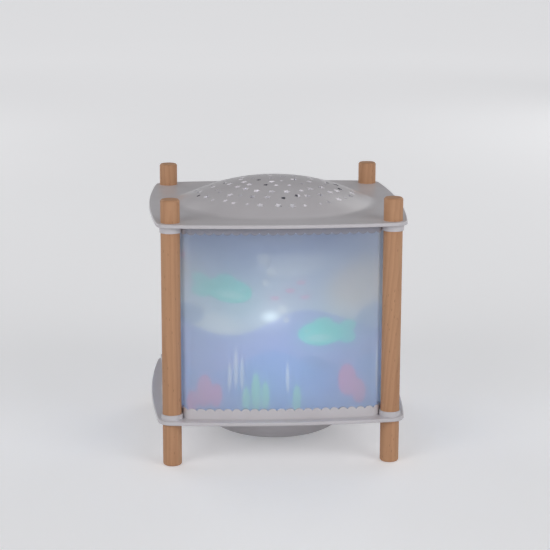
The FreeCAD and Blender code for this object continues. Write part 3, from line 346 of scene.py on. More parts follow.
def new_group(name, inputs, outputs):
    """A node group with its sockets, as (tree, input sockets, output sockets)."""
    made = bpy.data.node_groups.new(name, "ShaderNodeTree")
    for way, sockets in (("INPUT", inputs), ("OUTPUT", outputs)):
        for label, kind in sockets.items():
            made.interface.new_socket(name=label, in_out=way, socket_type=kind)
    tree = Tree(made)
    return tree, tree.nodes.new("NodeGroupInput").outputs, tree.nodes.new("NodeGroupOutput").inputs


def new_material(name, **plain):
    """A material with plain values on its shader, as (material, tree, shader)."""
    material = bpy.data.materials.new(name)
    material.use_nodes = True
    tree = Tree(material.node_tree)
    shader = tree.nodes["Principled BSDF"]
    for label, value in plain.items():
        tree.feed(value, shader.inputs[label.replace("_", " ")])
    return material, tree, shader


def object_place(tree, middle=(0, 0, 0), turn=(0, 0, 0)):
    """Object coordinates, measured from a middle and turned."""
    place = tree.add("ShaderNodeTexCoord", {}).outputs["Object"]
    inputs = {"Vector": place, "Location": middle, "Rotation": turn}
    return tree.add("ShaderNodeMapping", inputs, vector_type="TEXTURE").outputs[0]


def seen_directly(tree):
    """One for rays from the camera, also by way of a mirror or glass."""
    path = tree.add("ShaderNodeLightPath", {}).outputs
    mirrored = tree.math("MAXIMUM", path["Is Glossy Ray"], path["Is Transmission Ray"])
    return tree.math("MAXIMUM", path["Is Camera Ray"], mirrored)


def coat(tree, shader, shade, roughness, height, depth):
    """Gives the shader its colour, its roughness and a bump of that depth in metres."""
    tree.feed(shade, shader.inputs["Base Color"])
    tree.feed(roughness, shader.inputs["Roughness"])
    bump = tree.add("ShaderNodeBump", {"Height": height, "Distance": depth, "Strength": 1.0})
    tree.feed(bump.outputs[0], shader.inputs["Normal"])


def clear_by(tree, shown, amount, tint=(1, 1, 1)):
    """Ends a material with the shown shader, which an amount makes clear."""
    clear = tree.add("ShaderNodeBsdfTransparent", {"Color": tint})
    mixed = tree.add("ShaderNodeMixShader", {0: amount, 1: shown.outputs[0], 2: clear.outputs[0]})
    tree.feed(mixed.outputs[0], tree.nodes["Material Output"].inputs["Surface"])


# Shared effects


def make_beech_grain():
    """Growth rings, fibres and flecks of beech, along the Z axis."""
    tree, given, made = new_group("Beech Grain", {
        "Place": VECTOR, "Ring Spacing": NUMBER, "Bow": NUMBER, "Pale": COLOUR, "Dark": COLOUR,
        "Fleck": COLOUR}, SKIN)
    place = given["Place"]
    wander = tree.noise(tree.stretched(place, 70, 14), 1.0, 3.0)
    slow = tree.noise(tree.stretched(place, 40, 10), 1.0, 1.0)
    x, y = tree.parts(place)[:2]
    radius = tree.reach(tree.math("ADD", x, given["Bow"]), y)
    bent = tree.math("MULTIPLY_ADD", wander, 0.0045, radius)
    phase = tree.math("FRACT", tree.math("DIVIDE", bent, given["Ring Spacing"]))
    ring = tree.math("MULTIPLY", tree.step(phase, 0.15, 0.86), tree.step(phase, 0.88, 1.0, 1.0, 0.0))
    fibre = tree.noise(tree.stretched(place, 2400, 70), 1.0, 3.0, 0.6)
    pores = tree.noise(tree.stretched(place, 5200, 420), 1.0, 2.0)
    cells = tree.add("ShaderNodeTexVoronoi", {"Vector": tree.stretched(place, 760, 190), "Scale": 1.0})
    kept = tree.step(tree.parts(cells.outputs["Color"])[0], 0.52, 0.74)
    fleck = tree.math("MULTIPLY", tree.step(cells.outputs["Distance"], 0.08, 0.26, 1.0, 0.0), kept)
    fine = tree.math("MULTIPLY", tree.math("SUBTRACT", fibre, 0.5), 0.42)
    shade = tree.math("MULTIPLY_ADD", ring, 0.25, fine)
    shade = tree.math("MULTIPLY_ADD", tree.math("SUBTRACT", slow, 0.5), 0.6, shade)
    shade = tree.math("MAXIMUM", tree.math("ADD", shade, 0.16), 0.0)
    wood = tree.blend(tree.math("MINIMUM", shade, 1.0), given["Pale"], given["Dark"])
    tree.feed(tree.blend(tree.math("MULTIPLY", fleck, 0.5), wood, given["Fleck"]), made["Colour"])
    tree.feed(tree.math("MULTIPLY_ADD", fibre, 0.22, 0.44), made["Roughness"])
    tree.feed(tree.math("SUBTRACT", tree.math("ADD", fibre, pores), fleck), made["Height"])


def make_moulded_skin():
    """Fine texture, slow clouds and handling marks of moulded plastic."""
    tree, given, made = new_group("Moulded Skin", {"Place": VECTOR, "Colour": COLOUR, "Polish": NUMBER}, SKIN)
    grain = tree.noise(given["Place"], 1800, 2.0, 0.5)
    cloud = tree.noise(given["Place"], 34, 2.0)
    handled = tree.noise(given["Place"], 60, 3.0, 0.55)
    darker = tree.blend(1.0, given["Colour"], (0.95, 0.94, 0.94), "MULTIPLY")
    tree.feed(tree.blend(tree.step(cloud, 0.3, 0.75), given["Colour"], darker), made["Colour"])
    spread = tree.math("MULTIPLY_ADD", tree.step(handled, 0.35, 0.7), 0.05, given["Polish"])
    tree.feed(tree.math("MULTIPLY_ADD", grain, 0.02, spread), made["Roughness"])
    tree.feed(grain, made["Height"])


def make_worked_metal():
    """Fine lines and dull patches of turned, drawn or plated metal."""
    tree, given, made = new_group("Worked Metal", {
        "Place": VECTOR, "Colour": COLOUR, "Tarnish": COLOUR, "Across": NUMBER, "Along": NUMBER,
        "Polish": NUMBER}, SKIN)
    scale = tree.joined(given["Across"], given["Across"], given["Along"])
    lines = tree.noise(tree.vector("MULTIPLY", given["Place"], scale), 1.0, 2.0)
    patch = tree.noise(given["Place"], 260, 4.0, 0.6)
    dull = tree.step(patch, 0.48, 0.74)
    tree.feed(tree.blend(tree.math("MULTIPLY", dull, 0.5), given["Colour"], given["Tarnish"]), made["Colour"])
    rough = tree.math("MULTIPLY_ADD", dull, 0.16, given["Polish"])
    tree.feed(tree.math("MULTIPLY_ADD", lines, 0.14, rough), made["Roughness"])
    tree.feed(lines, made["Height"])


def make_drum_place():
    """Distances in millimetres round the drum, from its front, and up from the table."""
    tree, given, made = new_group("Drum Place", {"Place": VECTOR}, {"Across": NUMBER, "Up": NUMBER})
    x, y, z = tree.parts(given["Place"])
    angle = tree.math("ARCTAN2", x, tree.math("MULTIPLY", y, -1.0))
    tree.feed(tree.math("MULTIPLY", angle, DRUM_RADIUS / MM), made["Across"])
    tree.feed(tree.math("DIVIDE", z, MM), made["Up"])


def make_side_place():
    """Metres along each side of the screen, from its middle, and up from the table; where the steps are."""
    found = {"Across": NUMBER, "Up": NUMBER, "Steps": NUMBER}
    tree, given, made = new_group("Side Place", {"Place": VECTOR}, found)
    x, y, z = tree.parts(given["Place"])
    far_x, far_y = tree.math("ABSOLUTE", x), tree.math("ABSOLUTE", y)
    in_front = tree.math("MULTIPLY", x, tree.math("MULTIPLY", tree.math("SIGN", y), -1.0))
    beside = tree.math("MULTIPLY", y, tree.math("SIGN", x))
    at_side = tree.math("GREATER_THAN", far_x, far_y)
    chosen = tree.math("ADD", tree.math("MULTIPLY", at_side, beside),
                       tree.math("MULTIPLY", tree.math("SUBTRACT", 1.0, at_side), in_front))
    tree.feed(chosen, made["Across"])
    tree.feed(z, made["Up"])
    nearer = tree.math("MINIMUM", far_x, far_y)
    tree.feed(tree.step(nearer, STEP_AT - 1.4 * MM, STEP_AT - 0.1 * MM), made["Steps"])


def make_soft_spot():
    """A soft-edged oval."""
    labels = ("Across", "Up", "Middle Across", "Middle Up", "Half Width", "Half Height", "Edge")
    tree, given, made = new_group("Soft Spot", dict.fromkeys(labels, NUMBER), {"Mask": NUMBER})
    across = tree.math("SUBTRACT", given["Across"], given["Middle Across"])
    up = tree.math("SUBTRACT", given["Up"], given["Middle Up"])
    across = tree.math("DIVIDE", across, given["Half Width"])
    up = tree.math("DIVIDE", up, given["Half Height"])
    inner = tree.math("SUBTRACT", 1.0, given["Edge"])
    outer = tree.math("ADD", 1.0, given["Edge"])
    tree.feed(tree.step(tree.reach(across, up), inner, outer, 1.0, 0.0), made["Mask"])


def make_soft_wave():
    """Everything under a soft rolling line that closes round the drum."""
    labels = ("Across", "Up", "Crest", "Swing", "Waves", "Start", "Edge")
    tree, given, made = new_group("Soft Wave", dict.fromkeys(labels, NUMBER), {"Mask": NUMBER})
    turn = tree.math("MULTIPLY", given["Across"], MM / DRUM_RADIUS)
    bend = tree.math("SINE", tree.math("MULTIPLY_ADD", turn, given["Waves"], given["Start"]))
    line = tree.math("MULTIPLY_ADD", bend, given["Swing"], given["Crest"])
    depth = tree.math("SUBTRACT", line, given["Up"])
    tree.feed(tree.step(depth, tree.math("MULTIPLY", given["Edge"], -1.0), given["Edge"]), made["Mask"])


def make_cut_out_walls():
    """The walls of the dome's cut-outs, which stand across its skin, and the painted light that each one
    gets, a random share cell by cell.
    """
    tree, given, made = new_group("Cut-out Walls", {"Place": VECTOR}, {"Mask": NUMBER, "Light": NUMBER})
    rise = DOME_TOP - PLATE_TOP
    radius = (DOME_RADIUS ** 2 + rise ** 2) / (2 * rise)
    outward = tree.vector("NORMALIZE", tree.vector("SUBTRACT", given["Place"], (0, 0, DOME_TOP - radius)))
    facing = tree.add("ShaderNodeTexCoord", {}).outputs["Normal"]
    agree = tree.math("ABSOLUTE", tree.vector("DOT_PRODUCT", facing, outward))
    x, y, z = tree.parts(given["Place"])
    inside = tree.step(tree.reach(x, y), DOME_RADIUS - 6 * MM, DOME_RADIUS - 4 * MM, 1.0, 0.0)
    high = tree.step(z, PLATE_TOP, PLATE_TOP + 1 * MM)
    wall = tree.step(agree, 0.35, 0.7, 1.0, 0.0)
    tree.feed(tree.math("MULTIPLY", wall, tree.math("MULTIPLY", inside, high)), made["Mask"])
    # Painted light: cells of cut-outs picked at random get a share of light, the others none
    cells = tree.add("ShaderNodeTexVoronoi", {"Vector": tree.joined(x, y, 0.0), "Scale": 1 / (9 * MM)})
    chance = tree.parts(cells.outputs["Color"])
    reached = tree.step(chance[0], 0.08, 0.13)
    tree.feed(tree.math("MULTIPLY", reached, tree.step(chance[1], 0.0, 1.0, 0.5, 1.0)), made["Light"])


def make_shared_effects():
    """Builds every shared effect once."""
    make_beech_grain()
    make_moulded_skin()
    make_worked_metal()
    make_drum_place()
    make_side_place()
    make_soft_spot()
    make_soft_wave()
    make_cut_out_walls()


# Materials


def dress(node_name, material):
    """Puts a material on a node of the frame."""
    node = frame["nodes"][node_name]
    if not node.material_slots:
        node.data.materials.append(material)
    for slot in node.material_slots:
        slot.material = material


def beech(look, name, middle, turn):
    """Beech whose rings cross one dowel in their own way."""
    material, tree, shader = new_material(name, Specular_IOR_Level=0.35)
    grain = tree.group("Beech Grain", {
        "Place": object_place(tree, middle, turn), "Ring Spacing": look.ring_spacing, "Bow": look.bow,
        "Pale": look.pale, "Dark": look.dark, "Fleck": look.fleck})
    coat(tree, shader, grain["Colour"], grain["Roughness"], grain["Height"], 0.03 * MM)
    return material


def moulded(name, shade, polish):
    """Moulded plastic, as (material, tree, shader, colour)."""
    material, tree, shader = new_material(name)
    skin = tree.group("Moulded Skin", {"Place": object_place(tree), "Colour": shade, "Polish": polish})
    coat(tree, shader, skin["Colour"], skin["Roughness"], skin["Height"], 0.0004 * MM)
    return material, tree, shader, skin["Colour"]


def pierced_plastic(look):
    """The top plate's plastic, with the lamp's light painted as a glow on its cut-outs' walls, painted shade
    in the unlit cut-outs and painted shade on the hanging band.
    """
    material, tree, shader, skin = moulded("Pierced Plate Plastic", look.plate, look.polish)
    place = object_place(tree)
    walls = tree.group("Cut-out Walls", {"Place": place})
    # Painted shade: cut-outs left without light get the dark unlit colour on their walls
    unlit = tree.math("MULTIPLY", walls["Mask"], tree.math("SUBTRACT", 1.0, walls["Light"]))
    skin = tree.blend(unlit, skin, look.unlit)
    # Painted shade: the band that hangs under the plate's edge, between the steps, takes the darker band
    # colour
    side = tree.group("Side Place", {"Place": place})
    under = tree.step(side["Up"], PLATE_UNDER - 0.6 * MM, PLATE_UNDER - 0.1 * MM, 1.0, 0.0)
    between = tree.step(tree.math("ABSOLUTE", side["Across"]), STEP_AT - 2 * MM, STEP_AT, 1.0, 0.0)
    skin = tree.blend(tree.math("MULTIPLY", under, between), skin, look.band)
    tree.feed(skin, shader.inputs["Base Color"])
    # Painted light: the lit cut-outs' walls glow with the cut-out glow colour
    lit = tree.math("MULTIPLY", walls["Mask"], walls["Light"])
    tree.feed(tree.blend(lit, (0, 0, 0), look.glow), shader.inputs["Emission Color"])
    tree.feed(look.glow_strength, shader.inputs["Emission Strength"])
    return material


# Each metal's colour, tarnish and roughness, and how fine its lines are across and along the Z axis
METALS = {"Turned Brass": ((0.80, 0.58, 0.27), (0.46, 0.30, 0.13), 0.22, 400.0, 9000.0),
          "Zinc Plate": ((0.62, 0.63, 0.65), (0.40, 0.41, 0.42), 0.30, 900.0, 900.0),
          "Nickel Plate": ((0.70, 0.68, 0.63), (0.44, 0.42, 0.38), 0.20, 400.0, 9000.0),
          "Rolled Aluminium": ((0.80, 0.81, 0.83), (0.62, 0.63, 0.65), 0.30, 3000.0, 300.0),
          "Drawn Wire": ((0.56, 0.56, 0.57), (0.36, 0.35, 0.34), 0.26, 2400.0, 160.0)}


def metal(name):
    """One of the metals, which is made when it is first asked for."""
    found = bpy.data.materials.get(name)
    if found:
        return found
    shade, tarnish, polish, across, along = METALS[name]
    material, tree, shader = new_material(name, Metallic=1.0)
    work = tree.group("Worked Metal", {"Place": object_place(tree), "Colour": shade, "Tarnish": tarnish,
                                       "Across": across, "Along": along, "Polish": polish})
    coat(tree, shader, work["Colour"], work["Roughness"], work["Height"], 0.01 * MM)
    return material


def frosted_film(look):
    """The screen: a frosted film that shows the light from inside, with painted shade towards its top and at
    its steps, and a painted bright spot that glows on each side.
    """
    material, tree, shader = new_material("Frosted Film", Specular_IOR_Level=0.3, Emission_Strength=1.0)
    place = object_place(tree)
    side = tree.group("Side Place", {"Place": place})
    frost = tree.noise(place, 5200, 2.0)
    cloud = tree.noise(place, 22, 2.0)
    # Painted shade: the film darkens towards the top plate
    high = tree.step(side["Up"], SCREEN_TOP - 34 * MM, SCREEN_TOP - 4 * MM)
    film = tree.blend(high, look.film, look.upper)
    film = tree.blend(tree.math("MULTIPLY", tree.step(cloud, 0.3, 0.7), 0.08), film, (1, 1, 1))
    # Painted shade: the film darkens at its bends beside the posts, and fully at the steps round them
    bend = tree.step(tree.math("ABSOLUTE", side["Across"]), STEP_AT - 7 * MM, STEP_AT)
    film = tree.blend(tree.math("MULTIPLY", bend, 0.3), film, look.step)
    film = tree.blend(side["Steps"], film, look.step)
    coat(tree, shader, film, tree.math("MULTIPLY_ADD", frost, 0.1, 0.45), frost, 0.01 * MM)
    # Painted light: a glowing bright spot of the bulb, the same on each side of the film
    spot = {"Across": side["Across"], "Up": side["Up"], "Middle Across": HALO_ACROSS, "Middle Up": HALO_UP}
    halo = 0.0
    for half_width, half_height, weight in HALO_LAYERS:
        size = {"Half Width": half_width, "Half Height": half_height, "Edge": 0.98}
        halo = tree.math("MULTIPLY_ADD", tree.group("Soft Spot", {**spot, **size})["Mask"], weight, halo)
    glow = tree.blend(1.0, look.halo, (look.halo_strength,) * 3, "MULTIPLY")
    tree.feed(tree.blend(tree.math("MINIMUM", halo, 1.0), (0, 0, 0), glow), shader.inputs["Emission Color"])
    through = tree.add("ShaderNodeBsdfTranslucent", {"Color": look.passing})
    # The steps also let less light through, which deepens their painted shade
    share_through = tree.math("MULTIPLY_ADD", side["Steps"], -0.35 * look.scatter, look.scatter)
    lit = tree.add("ShaderNodeMixShader", {0: share_through, 1: shader.outputs[0], 2: through.outputs[0]})
    clear_by(tree, lit, tree.add("ShaderNodeNewGeometry", {}).outputs["Backfacing"])
    return material


def paint_spots(tree, place, ground, shade, spots, strength, edge):
    """Paints soft ovals, each (middle across, middle up, half width, half height), over a ground colour."""
    for across, up, half_width, half_height in spots:
        mask = tree.group("Soft Spot", {
            **place, "Middle Across": across, "Middle Up": up, "Half Width": half_width,
            "Half Height": half_height, "Edge": edge})["Mask"]
        ground = tree.blend(tree.math("MULTIPLY", mask, strength), ground, shade)
    return ground


def paint_wave(tree, place, ground, shade, crest, swing, waves, start, strength, edge):
    """Paints one row of waves over a ground colour."""
    mask = tree.group("Soft Wave", {
        **place, "Crest": crest, "Swing": swing, "Waves": waves, "Start": start, "Edge": edge})["Mask"]
    return tree.blend(tree.math("MULTIPLY", mask, strength), ground, shade)


# Motifs of the picture in millimetres: round the drum from its front, up from the table, then their sizes

# Each fish also has its way: 1 swims to the right
FISH = ((-27, 106, 11, 1), (20, 84, 11.5, -1), (80, 102, 11, -1), (122, 82, 10, 1), (-80, 84, 10.5, 1),
        (-124, 108, 11, -1), (174, 106, 10.5, -1), (-168, 82, 11, 1))
BUBBLES = ((-9, 112, 1.8), (-6, 118, 2.4), (-10, 125, 3.0), (2, 92, 1.6), (0, 98, 2.2), (62, 108, 2.0),
           (60, 115, 2.8), (138, 90, 2.2), (141, 97, 3.0), (-64, 92, 2.0), (-61, 99, 2.8), (-142, 116, 2.4),
           (158, 114, 2.6), (-152, 90, 2.4))
LIGHT_PATCHES = ((6, 122, 20, 6), (-34, 88, 12, 5), (58, 126, 17, 5), (-84, 118, 18, 6), (104, 120, 16, 5),
                 (163, 124, 18, 6), (-150, 122, 16, 5), (-112, 86, 12, 5), (96, 82, 12, 4))
WARM_PATCHES = ((38, 106, 13, 12), (-66, 112, 20, 9), (108, 108, 14, 9), (-176, 110, 14, 9))
CORALS = ((-38, 56, 3.2, 8), (-33, 53, 2.6, 6), (-43, 52, 2.4, 5), (33, 60, 4.2, 8), (38, 55, 3, 6),
          (98, 58, 3.6, 8), (103, 54, 3, 5), (144, 56, 3.4, 7), (-108, 58, 3.6, 7), (-148, 54, 3.2, 6),
          (182, 58, 3.6, 7))
WEED = ((-14, 52, 2.4, 11), (-9, 50, 2.2, 8), (-19, 49, 2.0, 7), (8, 48, 2.2, 8), (54, 52, 2.4, 11),
        (59, 49, 2.2, 7), (80, 50, 2.2, 9), (122, 52, 2.4, 11), (127, 49, 2.0, 7), (160, 50, 2.2, 9),
        (-60, 52, 2.4, 11), (-65, 49, 2.2, 7), (-88, 50, 2.2, 9), (-128, 52, 2.4, 11), (-166, 50, 2.2, 9))
ROCKS = ((-46, 92, 8, 5), (-52, 72, 7, 9), (16, 66, 7, 6), (24, 62, 9, 7), (45, 88, 9, 8), (92, 92, 9, 6),
         (66, 64, 9, 8), (112, 66, 8, 8), (150, 90, 9, 7), (-20, 64, 5, 5), (-96, 66, 8, 8), (-104, 90, 9, 6),
         (-138, 66, 8, 8), (-158, 90, 8, 6), (186, 66, 8, 8))
BLADES = ((-24, 66, 1.0, 10), (-21, 63, 0.9, 8), (-27, 62, 0.9, 7), (46, 66, 1.0, 11), (49, 62, 0.9, 8),
          (3, 60, 0.9, 8), (88, 66, 1.0, 10), (91, 63, 0.9, 7), (134, 66, 1.0, 10), (-72, 66, 1.0, 10),
          (-75, 62, 0.9, 7), (-118, 66, 1.0, 10), (-178, 66, 1.0, 10))
SHOAL = ((4, 108, 2.6, 1.2), (10, 112, 2.4, 1.1), (-4, 104, 2.4, 1.1), (12, 104, 2.4, 1.1),
         (66, 92, 2.6, 1.2), (72, 96, 2.4, 1.1), (70, 88, 2.4, 1.1), (146, 108, 2.6, 1.2),
         (152, 112, 2.4, 1.1), (-48, 118, 2.6, 1.2), (-54, 114, 2.4, 1.1), (-100, 106, 2.6, 1.2),
         (-106, 110, 2.4, 1.1), (-146, 102, 2.6, 1.2))


def paint_fish(tree, place, ground, look):
    """Paints each fish: two tail fins, a back fin, a body, a pale belly and an eye."""
    fins, bodies, bellies, eyes = [], [], [], []
    for across, up, size, way in FISH:
        tail = across - way * size * 1.12
        fins += [(tail, up + size * 0.24, size * 0.32, size * 0.26),
                 (tail, up - size * 0.24, size * 0.32, size * 0.26),
                 (across - way * size * 0.1, up + size * 0.5, size * 0.4, size * 0.22)]
        bodies.append((across, up, size, size * 0.56))
        bellies.append((across + way * size * 0.1, up - size * 0.22, size * 0.6, size * 0.2))
        eyes.append((across + way * size * 0.6, up + size * 0.12, size * 0.1, size * 0.1))
    ground = paint_spots(tree, place, ground, look.fish, fins, 0.9, 0.12)
    ground = paint_spots(tree, place, ground, look.fish, bodies, 1.0, 0.06)
    return paint_spots(tree, place, ground, look.light, bellies + eyes, 0.4, 0.5)


def printed_film(look):
    """The drum's generic picture: fish, bubbles, corals and weed in pale water."""
    material, tree, shader = new_material("Printed Film", Specular_IOR_Level=0.3)
    source = object_place(tree)
    drum = tree.group("Drum Place", {"Place": source})
    place = {"Across": drum["Across"], "Up": drum["Up"]}
    # The water deepens towards the top ring; this darker top is also painted shade under the top plate
    ground = tree.blend(tree.step(drum["Up"], 84.0, 140.0), look.lower, look.upper)
    wash = tree.noise(source, 30, 3.0)
    ground = tree.blend(tree.math("MULTIPLY", tree.step(wash, 0.35, 0.7), 0.25), ground, look.light)
    ground = paint_spots(tree, place, ground, look.warm, WARM_PATCHES, 0.7, 0.6)
    ground = paint_spots(tree, place, ground, look.light, LIGHT_PATCHES, 0.5, 0.5)
    ground = paint_wave(tree, place, ground, look.far_wave, 90, 7, 5, 0.6, 0.9, 1.2)
    ground = paint_spots(tree, place, ground, look.rock, ROCKS, 0.6, 0.12)
    ground = paint_wave(tree, place, ground, look.near_wave, 70, 5, 7, 2.1, 0.6, 0.8)
    bubbles = [(across, up, size, size) for across, up, size in BUBBLES]
    for shade, motifs, strength, edge in (
            (look.light, BLADES, 0.6, 0.3), (look.coral, SHOAL, 0.95, 0.2), (look.weed, WEED, 0.85, 0.15),
            (look.coral, CORALS, 0.9, 0.12), (look.light, bubbles, 0.7, 0.4)):
        ground = paint_spots(tree, place, ground, shade, motifs, strength, edge)
    ground = paint_fish(tree, place, ground, look)
    coat(tree, shader, ground, 0.5, tree.noise(source, 3800, 2.0), 0.006 * MM)
    # Painted light: the print glows with its own colours
    tree.feed(ground, shader.inputs["Emission Color"])
    tree.feed(look.glow_strength, shader.inputs["Emission Strength"])
    one_face = tree.add("ShaderNodeGamma", {"Color": ground, "Gamma": look.depth}).outputs[0]
    clear_by(tree, shader, tree.add("ShaderNodeLightPath", {}).outputs["Is Shadow Ray"], one_face)
    return material


def bulb_glass():
    """Clear glass that lets the lamp's own light out."""
    material, tree, shader = new_material("Bulb Glass", Transmission_Weight=1.0, IOR=1.45)
    swirl = tree.noise(object_place(tree), 90, 3.0)
    coat(tree, shader, (1, 1, 1), tree.math("MULTIPLY", swirl, 0.05), swirl, 0.02 * MM)
    path = tree.add("ShaderNodeLightPath", {}).outputs
    clear_by(tree, shader, tree.math("MAXIMUM", path["Is Shadow Ray"], path["Is Diffuse Ray"]))
    return material


def hot_wire(look):
    """Glowing tungsten."""
    material, tree, shader = new_material("Glowing Wire", Metallic=1.0, Roughness=0.4, Emission_Strength=6.0)
    heat = tree.noise(object_place(tree), 900, 2.0)
    tree.feed(tree.blend(heat, (0.32, 0.30, 0.28), (0.45, 0.42, 0.38)), shader.inputs["Base Color"])
    tree.feed(tree.blend(heat, look.light, (1.0, 0.72, 0.36)), shader.inputs["Emission Color"])
    return material


def fired_clay():
    """Unglazed white ceramic."""
    material, tree, shader = new_material("Fired Clay", Specular_IOR_Level=0.3)
    speck = tree.noise(object_place(tree), 1500, 3.0, 0.7)
    clay = tree.blend(tree.step(speck, 0.4, 0.72), (0.78, 0.77, 0.73), (0.60, 0.58, 0.53))
    coat(tree, shader, clay, tree.math("MULTIPLY_ADD", speck, 0.2, 0.55), speck, 0.03 * MM)
    return material


def lead_sleeve():
    """Soft insulation, red on one lead and black on the other."""
    material, tree, shader = new_material("Lead Sleeve", Specular_IOR_Level=0.35)
    place = object_place(tree)
    right = tree.math("GREATER_THAN", tree.parts(place)[0], 0.0)
    dust = tree.noise(place, 1200, 3.0)
    sleeve = tree.blend(right, (0.42, 0.03, 0.03), (0.025, 0.025, 0.027))
    sleeve = tree.blend(tree.math("MULTIPLY", dust, 0.12), sleeve, (0.5, 0.48, 0.46))
    coat(tree, shader, sleeve, tree.math("MULTIPLY_ADD", dust, 0.2, 0.4), dust, 0.02 * MM)
    return material


# Modelled pieces

# Steps of a full turn, points of a thread's wave, and the angle in radians from which an edge stays sharp
TURN_STEPS = 64
WAVE_POINTS = 10
SHARP_ANGLE = 0.6

# Points this near each other become one
SAME_PLACE = 0.001 * MM
SAME_SEAM = 0.01 * MM


def placed(name, data, place=(0, 0, 0)):
    """Adds an object to the scene."""
    made = bpy.data.objects.new(name, data)
    made.location = place
    bpy.context.scene.collection.objects.link(made)
    return made


def new_piece(name, shape, body, material):
    """Makes an object of a bmesh, smooths it, gives it its material and slot and puts it on its body."""
    bmesh.ops.remove_doubles(shape, verts=shape.verts, dist=SAME_PLACE)
    bmesh.ops.recalc_face_normals(shape, faces=shape.faces)
    mesh = bpy.data.meshes.new(name)
    shape.to_mesh(mesh)
    shape.free()
    mesh.shade_smooth()
    mesh.set_sharp_from_angle(angle=SHARP_ANGLE)
    mesh.materials.append(material)
    piece = placed(name, mesh)
    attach(piece, body)
    return piece


def chain(shape, points):
    """A line of edges through points given as (radius, height), in the plane of the X and Z axes."""
    corners = [shape.verts.new((radius, 0.0, height)) for radius, height in points]
    edges = [shape.edges.new(pair) for pair in zip(corners, corners[1:])]
    return corners + edges


def turned(shape, points, rise=0.0):
    """Spins a line of (radius, height) points a full turn round the Z axis, while it rises or closes."""
    bmesh.ops.spin(shape, geom=chain(shape, points), cent=(0, 0, 0), axis=(0, 0, 1),
                   dvec=(0, 0, rise / TURN_STEPS), angle=2 * math.pi, steps=TURN_STEPS, use_merge=rise == 0.0)


def thread(shape, middle_radius, depth, low, high):
    """A right-handed thread's skin between two heights, trimmed level at both ends."""
    start = math.floor(low / THREAD_PITCH) - 1
    end = math.ceil(high / THREAD_PITCH) + 1
    line = []
    for point in range(start * WAVE_POINTS, end * WAVE_POINTS + 1):
        wave = math.cos(2 * math.pi * point / WAVE_POINTS)
        line.append((middle_radius + wave * depth / 2, point * THREAD_PITCH / WAVE_POINTS))
    before = set(shape.verts)
    turned(shape, line, THREAD_PITCH)
    made = [corner for corner in shape.verts if corner not in before]
    bmesh.ops.remove_doubles(shape, verts=made, dist=SAME_SEAM)
    for height, outward in ((low, (0, 0, -1)), (high, (0, 0, 1))):
        skin = [corner for corner in shape.verts if corner not in before]
        links = {edge for corner in skin for edge in corner.link_edges}
        faces = {face for corner in skin for face in corner.link_faces}
        bmesh.ops.bisect_plane(shape, geom=[*skin, *links, *faces], dist=SAME_PLACE, plane_co=(0, 0, height),
                               plane_no=outward, clear_outer=True, clear_inner=False)


def build_cap(look):
    """The bulb's screw cap: thread, plain skirt and the rounded end that carries the insulator."""
    shape = bmesh.new()
    heel, skirt = 3.2 * MM, 5.5 * MM
    low, high = CAP_FOOT + heel, CAP_TOP - skirt
    root = CAP_RADIUS - look.thread_depth
    thread(shape, (CAP_RADIUS + root) / 2, look.thread_depth, low, high)
    turned(shape, [(root, high - 0.2 * MM), (CAP_RADIUS, high + 0.4 * MM), (CAP_RADIUS, CAP_TOP - 1.2 * MM),
                   (CAP_RADIUS - 0.1 * MM, CAP_TOP), (CAP_RADIUS - 0.35 * MM, CAP_TOP)])
    turned(shape, [(root, low + 0.2 * MM), (CAP_RADIUS - 0.9 * MM, low - 0.5 * MM),
                   (4.4 * MM, CAP_FOOT + 2.0 * MM), (3.4 * MM, CAP_FOOT + 2.0 * MM)])
    return new_piece("screw_cap", shape, "bulb", metal("Nickel Plate"))


def build_insulator():
    """The black glass cone between the cap and its centre contact."""
    shape = bmesh.new()
    profile = ((2.6, 0.1), (3.2, 0.1), (4.6, 1.6), (4.5, 2.1), (2.6, 2.1), (2.6, 0.1))
    turned(shape, [(radius * MM, CAP_FOOT + up * MM) for radius, up in profile])
    material = moulded("Cap Insulator", (0.02, 0.02, 0.022), 0.12)[0]
    return new_piece("cap_insulator", shape, "bulb", material)


def rod(shape, start, end, radius):
    """A straight round rod between two points."""
    start, end = Vector(start), Vector(end)
    along = end - start
    made = bmesh.ops.create_circle(shape, cap_ends=True, radius=radius, segments=10)["verts"]
    place = Matrix.Translation(start) @ along.to_track_quat("Z", "Y").to_matrix().to_4x4()
    bmesh.ops.transform(shape, matrix=place, verts=made)
    cap = made[0].link_faces[0]
    far = bmesh.ops.extrude_face_region(shape, geom=[cap])["geom"]
    moved = [item for item in far if isinstance(item, bmesh.types.BMVert)]
    bmesh.ops.translate(shape, verts=moved, vec=along)


def build_filament(look):
    """The coiled wire and its two legs, in place of the plain wire."""
    low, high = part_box("bulb_filament")
    leg, leg_foot = 0.22 * MM, 1.0 * MM
    turns, steps = 18, 18 * 12
    half = high.x - leg
    top = high.z - look.coil_radius - look.coil_wire
    shape = bmesh.new()
    for side in (-1, 1):
        rod(shape, (side * leg_foot, 0, low.z), (side * half, 0, top), leg)
    loop = bmesh.ops.create_circle(shape, cap_ends=False, radius=look.coil_wire, segments=6)["verts"]
    bmesh.ops.translate(shape, verts=loop, vec=(-half, look.coil_radius, top))
    edges = list({edge for corner in loop for edge in corner.link_edges})
    bmesh.ops.spin(shape, geom=loop + edges, cent=(-half, 0, top), axis=(1, 0, 0),
                   dvec=(2 * half / steps, 0, 0), angle=2 * math.pi * turns, steps=steps, use_merge=False)
    piece = new_piece("coiled_filament", shape, "bulb", hot_wire(look))
    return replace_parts(piece, "bulb_filament")


